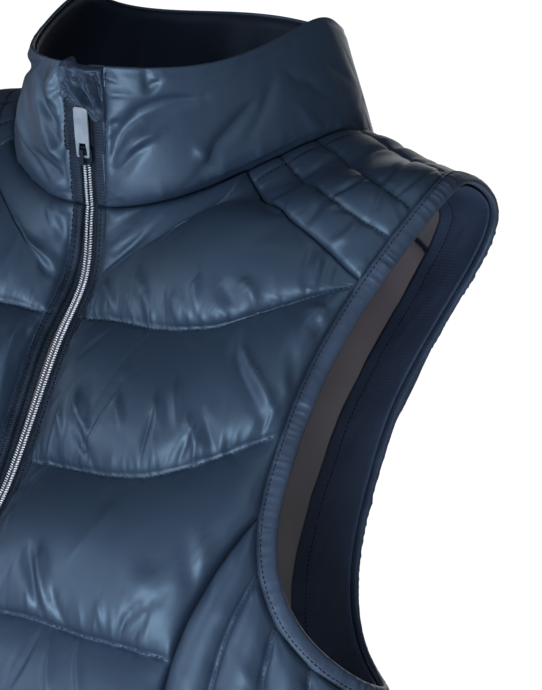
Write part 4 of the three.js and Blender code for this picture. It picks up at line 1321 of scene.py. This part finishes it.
# The binding's outline: share of its width and height, from under the panel's edge round
# the hole's edge to the inside
BINDING_OUTLINE = np.array([
    [1.10, 0.3], [1.06, 1.2], [0.96, 2.0], [0.82, 2.6], [0.62, 2.9], [0.42, 2.9], [0.22, 2.5],
    [0.07, 1.7], [0.0, 0.6], [0.05, -0.5], [0.2, -1.3], [0.45, -1.7], [0.75, -1.9], [1.02, -1.9],
])
BINDING_COLUMNS = 1150


def binding_piece(name, seed, mirror):
    """A narrow band gathered round the armhole, with puckers that come and go."""
    rng = np.random.default_rng(seed)
    angle, walk, total = armhole_path(BINDING_COLUMNS, BINDING_WIDTH / 2)
    ruche = np.zeros(BINDING_COLUMNS)
    lean = np.zeros(BINDING_COLUMNS)
    x = 0.0
    while x < total:
        x += rng.uniform(1.4, 5.6)
        off = (walk - x + total / 2) % total - total / 2
        wave = rng.uniform(0.2, 1.0) * np.exp(-(off / rng.uniform(0.6, 1.9)) ** 2)
        ruche += wave
        lean += wave * rng.uniform(-3, 3)
    gathered = 0.25 + 0.75 * smooth(0.5 + 0.9 * wander(walk, total / 5, rng))
    ruche = (ruche - ruche.mean()) * gathered
    drift = wander(walk, total / 7, rng) * 0.35
    sections = []
    for share, rise in BINDING_OUTLINE:
        turn, level = armhole(angle, BINDING_WIDTH * share)
        point = body_point(turn, level)
        normal = body_normal(turn, level)
        wave = np.sin(np.pi * np.clip(share, 0, 1)) ** 0.6 if rise > 0 else 0.25
        slip = wander(walk + share * 9, 14, rng) * 0.15
        shifted = np.interp((walk + (share - 0.5) * lean) % total, walk, ruche)
        height = rise + wave * (0.8 * shifted + drift) + slip * wave
        sections.append(point + normal * np.asarray(height)[:, None])
    sections = np.swapaxes(np.array(sections), 0, 1)
    obj = loop_grid(name, sections[:, ::-1], [binding], mirror, closed_section=False)
    turn, level = armhole(angle, BINDING_WIDTH * 0.86)
    sewing.run(sections[:, 3], body_normal(turn, level), mirror, EDGE_LIFT)
    return obj


FACING_START = 1.5  # mm from the hole's edge, over the binding's inner half
FACING_COLUMNS = 420
FACING_ROWS = 17
FACING_STITCHED = 12  # the row with the stitch line


def facing_piece(name, seed, mirror):
    """The band inside the armhole, from near the hole's edge to its own free edge."""
    rng = np.random.default_rng(seed)
    angle, walk, _ = armhole_path(FACING_COLUMNS, BINDING_WIDTH + FACING_WIDTH / 2)
    far = BINDING_WIDTH + facing_width(angle)
    outer = []
    for share in np.linspace(0, 1, FACING_ROWS):
        turn, level = armhole(angle, FACING_START + (far - FACING_START) * share)
        normal = body_normal(turn, level)
        wave = 0.4 * (1 + wander(walk + 20 * share, 42, rng)) * smooth(share * 2)
        stitch = 0.5 * math.exp(-((share - 0.78) / 0.04) ** 2)
        depth = -mix(2.5, 3.6, smooth(share * 2)) - wave + stitch
        outer.append(body_point(turn, level) + normal * np.asarray(depth)[:, None])
    outer = np.array(outer)
    turn, level = armhole(angle, BINDING_WIDTH + FACING_WIDTH / 2)
    normal = body_normal(turn, level)
    inner = outer - normal[None] * 0.9
    sections = np.swapaxes(np.concatenate([outer, inner[::-1]]), 0, 1)
    obj = loop_grid(name, sections[:, ::-1], [facing], mirror)
    sewing.run(inner[FACING_STITCHED], -normal, mirror, EDGE_LIFT)
    return obj


def lining_piece(name, seed):
    """The back's lining: soft upright folds that fall away from the padding."""
    rng = np.random.default_rng(seed)
    column, baffle = np.meshgrid(np.linspace(0.06, 17.94, 141), np.linspace(0.02, 8.98, 121))
    turn, level = back_places(column, baffle)
    points = body_point(turn, level)
    across, down = lengths(points)
    near = np.minimum(column, 18 - column)
    loose = smooth((near - 1.6) / 2.4) * smooth(baffle / 0.6) * smooth((9 - baffle) / 0.5)
    depth = 1.4 * (1 + wander(across + 0.15 * down, 75, rng))
    depth = depth + 0.8 * (1 + wander(down + 0.4 * across, 120, rng))
    return thin_cloth(name, points, body_normal(turn, level), 0.6 + loose * depth, lining)


# Zip
def zip_line(top_up, spacing):
    """Even places from the hem up the front's middle and up the collar, with directions."""
    body = np.linspace(HEM, 0, 900)
    collar = np.linspace(0, top_up, 150)[1:]

    def joined(of_body, of_collar):
        parts = (of_body(np.zeros_like(body), body), of_collar(np.zeros_like(collar), collar))
        return np.concatenate(parts)

    path = joined(body_point, collar_point)
    out = joined(body_normal, collar_normal)
    walk = np.concatenate([[0], np.cumsum(np.linalg.norm(np.diff(path, axis=0), axis=1))])
    even = np.arange(spacing / 2, walk[-1], spacing)

    def at(values):
        return np.stack([np.interp(even, walk, values[:, k]) for k in range(3)], -1)

    place = at(path)
    normal = unit(at(out))
    way = unit(np.gradient(place, axis=0))
    side = unit(np.cross(way, normal))
    side = side * np.sign(side[:, :1])
    return place, normal, way, side


# Teeth: pitch, distance of a row from the middle, height over the form, and half of their
# length, thickness and height
TOOTH_PITCH = 1.25
TOOTH_SIDE = 1.3
TOOTH_UP = 1.55
TOOTH_LENGTH = 0.85
TOOTH_THICKNESS = 0.36
TOOTH_HEIGHT = 0.75


def chain_piece(name):
    """Two rows of coil teeth that mesh, each a rounded bar."""
    points = []
    faces = []
    count = 0
    top = (SLIDER_UP - 5.0) / COLLAR_HEIGHT
    place, normal, way, side = zip_line(top, TOOTH_PITCH / 2)
    for row, sign in ((0, -1), (1, 1)):
        here = slice(row, None, 2)
        centre = place[here] + side[here] * (TOOTH_SIDE * sign) + normal[here] * TOOTH_UP
        lean = unit(side[here] * sign + way[here] * 0.3) * TOOTH_LENGTH
        thick = way[here] * TOOTH_THICKNESS
        made, found = bars(centre, lean, thick, normal[here] * TOOTH_HEIGHT, TOOTH_FORM)
        faces += [tuple(v + count for v in face) for face in found]
        points.append(made)
        count += len(made)
    return new_object(name, np.concatenate(points), faces, [teeth])


# The tape across: distance from the zip's middle and height over the form
TAPE_OUTLINE = [
    (0.3, -0.3), (1.2, 0.1), (2.2, 0.15), (2.9, 0.1), (3.3, -0.35), (6.0, -0.4), (9.0, -0.45),
    (12.0, -0.6), (15.0, -0.75),
]


def tape_piece(name, mirror):
    """The zip's tape beside the chain and behind the front's first cloth."""
    place, normal, way, side = zip_line(0.94, 1.6)
    outer = []
    for x, rise in TAPE_OUTLINE:
        back = [0, 24 * (x / 150) ** 2, 0]
        outer.append(place + side * x + normal * rise + back)
    outer = np.array(outer)
    inner = outer - normal[None] * 0.7
    sections = np.swapaxes(np.concatenate([outer, inner[::-1]]), 0, 1)
    return loop_grid(name, sections, [tape], mirror, closed_path=False)


# The guard's folds: places as (mm across, mm up the zip), width, height
GUARD_FOLDS = [
    ([(-11, 78), (-9, 75), (-4, 74.5)], 1.6, 1.6),
    ([(-6.5, 70), (-3.5, 62), (1.5, 55), (3, 50)], 1.5, 2.0),
    ([(-1.5, 71), (1.0, 62), (5.5, 54), (8.0, 47)], 1.4, -1.9),
    ([(4.5, 71), (5.0, 64), (8.0, 57), (10.0, 52)], 1.3, 2.0),
    ([(8.0, 70), (9.2, 60), (10.4, 55)], 1.1, -1.5),
    ([(-10.0, 70), (-8.0, 62), (-4.5, 56)], 1.3, 1.4),
    ([(-10.5, 63), (-8.5, 57), (-6.0, 52)], 1.2, -1.3),
    ([(-1.0, 74), (4.0, 73), (9.0, 72)], 1.5, 1.2),
    ([(6.5, 52), (9.8, 46)], 1.2, 1.3),
    ([(1.0, 53), (6.0, 47)], 1.1, -1.2),
]
GUARD_HALF = 11.2  # half its width
GUARD_TOP = 75.5
GUARD_SLAB = (-8.5, -3.5, 52.0, 66.0)  # where it is sewn down in a dense patch


def guard_piece(name, seed):
    """Crumpled cloth folded over the top of the zip."""
    rng = np.random.default_rng(seed)
    x, v = np.meshgrid(np.linspace(-GUARD_HALF, GUARD_HALF, 91), np.linspace(0, 1, 117))
    end = mix(52.5, 44.5, smooth((x + 1) / 9)) + 0.6 * np.sin(x * 0.8)
    end = end + 3 * smooth((-x - 5) / 4)
    loop = 2.6 * np.exp(-((x + 7) / 3.4) ** 2)
    up_mm = mix(GUARD_TOP - 3.2 + loop, end, v)
    inside_part = smooth((up_mm - 71.0) / 4)
    up = np.minimum(up_mm, 71.4) / COLLAR_HEIGHT
    turn = collar_turn_at(x, up)
    points = collar_point(turn, up) + np.array([0, 0, 1]) * (up_mm - up * COLLAR_HEIGHT)[..., None]
    normals = collar_normal(turn, up)
    flat = np.stack([x, up_mm, np.zeros_like(x)], -1)
    heights = np.zeros_like(x)
    for places, width, height in GUARD_FOLDS:
        path = np.array([(a, b, 0.0) for a, b in places])
        steps = np.linspace(0, len(path) - 1, 13)
        path = np.stack([np.interp(steps, np.arange(len(path)), path[:, k]) for k in range(3)], -1)
        heights += 1.5 * fold(flat, path, width, height)
    for _ in range(40):
        middle = np.array([rng.uniform(-10, 10), rng.uniform(47, 72), 0])
        way = np.array([rng.uniform(0.3, 1), rng.uniform(-1, -0.3), 0]) * rng.uniform(2, 5)
        path = np.array([middle - way, middle, middle + way])
        heights += fold(flat, path, 0.75, rng.uniform(-1.0, 1.1))
    slab = smooth((x - GUARD_SLAB[0]) / 1.5) * smooth((GUARD_SLAB[1] - x) / 1.5)
    slab = slab * smooth((up_mm - GUARD_SLAB[2]) / 1.5) * smooth((GUARD_SLAB[3] - up_mm) / 1.5)
    heights += slab * 0.8 * np.sin(x * 3.1 + 0.6 * up_mm) * np.sin(up_mm * 2.3)
    calm = dome(GUARD_HALF - np.abs(x), 2.5) * dome(v * 28, 2) * dome((1 - v) * 28, 2)
    height = 2.7 + 2.2 * calm + heights * calm - 3.0 * inside_part
    height = np.where(inside_part > 0, height, np.clip(height, 2.4, 8.6))
    outer = points + normals * height[..., None]
    return closed_wall(name, outer, outer - normals, 1, [crumpled, crumpled])


# The pull tab in the slider's frame: half widths and heights up the zip
TAB_OUTLINE = [
    (-3.0, -0.6), (3.0, -0.6), (3.5, 0.0), (3.75, 11.0), (3.75, 24.1), (2.9, 25.0), (-2.9, 25.0),
    (-3.75, 24.1), (-3.75, 11.0), (-3.5, 0.0),
]
TAB_WINDOW = [(-2.4, 0.7), (2.4, 0.7), (1.7, 6.6), (-1.7, 6.6)]
TAB_CENTRE = (0.0, 3.4)
TAB_HEIGHT = 4.4
TAB_THICKNESS = 1.0
TAB_EDGE = 0.22


def outline_radii(outline, centre, angles, grow):
    """Distances from the centre to a closed outline at given angles."""
    corners = np.array(outline + outline[:1], float) - centre
    sides = [mix(a, b, np.linspace(0, 1, 60)[:-1, None]) for a, b in zip(corners[:-1], corners[1:])]
    dense = np.concatenate(sides)
    found = np.degrees(np.arctan2(dense[:, 1], dense[:, 0])) % 360
    order = np.argsort(found)
    return np.interp(angles, found[order], np.linalg.norm(dense[order], axis=1), period=360) + grow


def tab_piece(name):
    """A flat tab with a window at its lower end."""
    corners = [math.atan2(y - TAB_CENTRE[1], x) for x, y in TAB_OUTLINE + TAB_WINDOW]
    angles = np.concatenate([np.arange(0, 360, 3.0), np.degrees(corners) % 360])
    angles = np.unique(np.round(angles, 3))
    way = np.stack([np.cos(np.radians(angles)), np.sin(np.radians(angles))], -1)
    outside = [outline_radii(TAB_OUTLINE, TAB_CENTRE, angles, grow) for grow in (0, -TAB_EDGE)]
    window = [outline_radii(TAB_WINDOW, TAB_CENTRE, angles, grow) for grow in (0, TAB_EDGE)]
    half = TAB_THICKNESS / 2
    low = half - TAB_EDGE
    rings = [(outside[0], -low), (outside[0], low), (outside[1], half), (window[1], half), (window[0], low),
             (window[0], -low), (window[1], -half), (outside[1], -half)]
    base = collar_point(0.0, SLIDER_UP / COLLAR_HEIGHT)
    out = collar_normal(np.array(0.0), np.array(SLIDER_UP / COLLAR_HEIGHT))
    climb = unit(collar_point(0.0, 1.0) - collar_point(0.0, 0.0))
    sections = []
    for radius, z in rings:
        flat = way * radius[:, None] + TAB_CENTRE
        point = base + np.array([1.0, 0, 0]) * flat[:, :1] + climb * flat[:, 1:] + out * (TAB_HEIGHT + z)
        sections.append(point)
    sections = np.swapaxes(np.array(sections), 0, 1)
    obj = loop_grid(name, sections, [steel])
    obj.data.polygons.foreach_set("use_smooth", np.zeros(len(obj.data.polygons), bool))
    return obj


# Pieces
SEEDS = {
    "front_left": 11, "front_right": 12, "side_left": 21, "side_right": 22, "yoke_left": 31,
    "yoke_right": 32, "back": 41, "collar": 51, "binding_left": 61, "binding_right": 62,
    "inner_collar": 71, "back_lining": 81, "facing": 91, "guard": 101,
}


def place_piece(obj, node):
    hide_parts(node)
    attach(obj, BODY)
    return obj


def panels():
    for side, mirror, table in (("left", False, LEFT_FOLDS), ("right", True, RIGHT_FOLDS)):
        columns = FRONT_COLUMNS[side]
        front = front_panel(f"front_{side}_cloth", SEEDS[f"front_{side}"], table, mirror, columns)
        flank = side_panel(f"side_{side}_cloth", SEEDS[f"side_{side}"], mirror)
        yoke = yoke_panel(f"yoke_{side}_cloth", SEEDS[f"yoke_{side}"], mirror)
        for obj, node in ((front, "front"), (flank, "side"), (yoke, "yoke")):
            place_piece(obj, f"{node}_{side}")
    back = place_piece(back_panel("back_cloth", SEEDS["back"]), "back")
    collar = place_piece(collar_piece("collar_cloth", SEEDS["collar"]), "collar")


def trims():
    inner_collar = collar_lining_piece("collar_facing_cloth", SEEDS["inner_collar"])
    place_piece(inner_collar, "collar_facing")
    back_lining = lining_piece("back_lining_cloth", SEEDS["back_lining"])
    place_piece(back_lining, "back_lining")
    for side, mirror in (("left", False), ("right", True)):
        band = binding_piece(f"armhole_binding_{side}_cloth", SEEDS[f"binding_{side}"], mirror)
        place_piece(band, f"armhole_binding_{side}")
        ring = facing_piece(f"armhole_facing_{side}_cloth", SEEDS["facing"], mirror)
        place_piece(ring, f"armhole_facing_{side}")
        strip = tape_piece(f"zip_tape_{side}_cloth", mirror)
        place_piece(strip, f"zip_tape_{side}")
    place_piece(chain_piece("zip_teeth"), "zip_chain")
    guard = guard_piece("chin_guard_cloth", SEEDS["guard"])
    place_piece(guard, "chin_guard")


def metal_parts():
    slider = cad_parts["slider"]
    slider.data.materials.clear()
    slider.data.materials.append(painted)
    bevel = slider.modifiers.new("edges", "BEVEL")
    bevel.width = 0.5 * MM
    bevel.segments = 3
    bevel.limit_method = "ANGLE"
    tab = tab_piece("tab_plate")
    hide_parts("pull_tab")
    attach(tab, "pull_tab")


panels()
trims()
metal_parts()
threads = sewing.piece("stitching", thread)
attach(threads, BODY)


# Stage, light and camera
FLOOR_Z = -0.66
FLOOR_GLOW = 0.66
SKY_SEEN = 1.05  # the world as the camera sees it
SKY_LIGHT = 0.06  # the world as it lights the cloth


def plane(name, size, z, material):
    half = size / 2
    mesh = bpy.data.meshes.new(name)
    corners = [(-half, -half, z), (half, -half, z), (half, half, z), (-half, half, z)]
    mesh.from_pydata(corners, [], [(0, 1, 2, 3)])
    mesh.materials.append(material)
    obj = bpy.data.objects.new(name, mesh)
    bpy.context.scene.collection.objects.link(obj)
    return obj


def stage():
    glow = {"Emission_Color": (1, 1, 1, 1), "Emission_Strength": FLOOR_GLOW}
    pale = base_material("pale_floor", Roughness=0.8, **glow)
    vary(pale, 3.0, (0.21, 0.21, 0.21), (0.23, 0.23, 0.23))
    plane("floor", 8.0, FLOOR_Z, pale)
    world = bpy.data.worlds.new("studio")
    bpy.context.scene.world = world
    world.use_nodes = True
    tree = world.node_tree
    seen = tree.nodes.new("ShaderNodeBackground")
    seen.inputs["Color"].default_value = (1, 1, 1, 1)
    seen.inputs["Strength"].default_value = SKY_SEEN
    light = tree.nodes["Background"]
    light.inputs["Color"].default_value = (0.93, 0.96, 1.0, 1)
    light.inputs["Strength"].default_value = SKY_LIGHT
    pick = tree.nodes.new("ShaderNodeMixShader")
    path = tree.nodes.new("ShaderNodeLightPath")
    tree.links.new(path.outputs["Is Camera Ray"], pick.inputs["Fac"])
    tree.links.new(light.outputs["Background"], pick.inputs[1])
    tree.links.new(seen.outputs["Background"], pick.inputs[2])
    tree.links.new(pick.outputs["Shader"], tree.nodes["World Output"].inputs["Surface"])


# Soft lights: name, place, aim, width and depth in metres, power in watts
LIGHTS = [
    ("front", (-0.75, -1.3, 0.0), (0.0, 0.0, -0.08), 0.5, 0.5, 8.0),
    ("low", (-0.3, -1.1, -0.60), (0.0, -0.15, 0.05), 0.8, 0.4, 1.6),
    ("collar", (0.32, -0.85, -0.60), (0.0, -0.1, 0.02), 0.3, 0.25, 12.0),
    ("high", (0.9, -1.2, 1.2), (0.1, 0.0, -0.1), 1.4, 1.4, 9.0),
    ("right", (1.7, -0.2, 0.3), (0.0, 0.0, -0.2), 0.8, 0.8, 2.0),
    ("left", (-1.6, -0.2, 0.2), (0.0, 0.0, -0.2), 0.8, 0.8, 3.0),
    ("behind", (-0.3, 1.8, 0.8), (0.0, 0.0, -0.2), 1.2, 1.0, 8.0),
]


def lights():
    for name, place, aim, width, depth, power in LIGHTS:
        lamp = bpy.data.lights.new(name, "AREA")
        lamp.shape = "RECTANGLE"
        lamp.size = width
        lamp.size_y = depth
        lamp.energy = power
        obj = bpy.data.objects.new(name, lamp)
        bpy.context.scene.collection.objects.link(obj)
        obj.location = place
        obj.rotation_euler = (Vector(aim) - Vector(place)).to_track_quat("-Z", "Y").to_euler()
        obj.visible_camera = False


CAMERA_AZIMUTH = 27.082
CAMERA_ELEVATION = -11.2903
CAMERA_ROLL = 13.2354
CAMERA_DISTANCE = 1.6399
CAMERA_LENS = 166.75
AIM_RIGHT = 0.03747  # the point aimed at, from the origin, along the picture's own axes
AIM_UP = -0.12166


def camera():
    turn = math.radians(CAMERA_AZIMUTH)
    rise = math.radians(CAMERA_ELEVATION)
    roll = math.radians(CAMERA_ROLL)
    back = Vector((math.sin(turn) * math.cos(rise), -math.cos(turn) * math.cos(rise), math.sin(rise)))
    right = Vector((math.cos(turn), math.sin(turn), 0))
    up = back.cross(right)
    image_right = right * math.cos(roll) + up * math.sin(roll)
    image_up = up * math.cos(roll) - right * math.sin(roll)
    place = back * CAMERA_DISTANCE
    look = (image_right * AIM_RIGHT + image_up * AIM_UP - place).normalized()
    side = look.cross(image_up).normalized()
    top = side.cross(look)
    data = bpy.data.cameras.new("camera")
    data.lens = CAMERA_LENS
    data.clip_start = 0.05
    obj = bpy.data.objects.new("camera", data)
    bpy.context.scene.collection.objects.link(obj)
    turned = Matrix((side, top, -look)).transposed().to_4x4()
    obj.matrix_world = Matrix.Translation(place) @ turned
    bpy.context.scene.camera = obj


stage()
lights()
camera()
bpy.context.scene.view_settings.view_transform = "Standard"
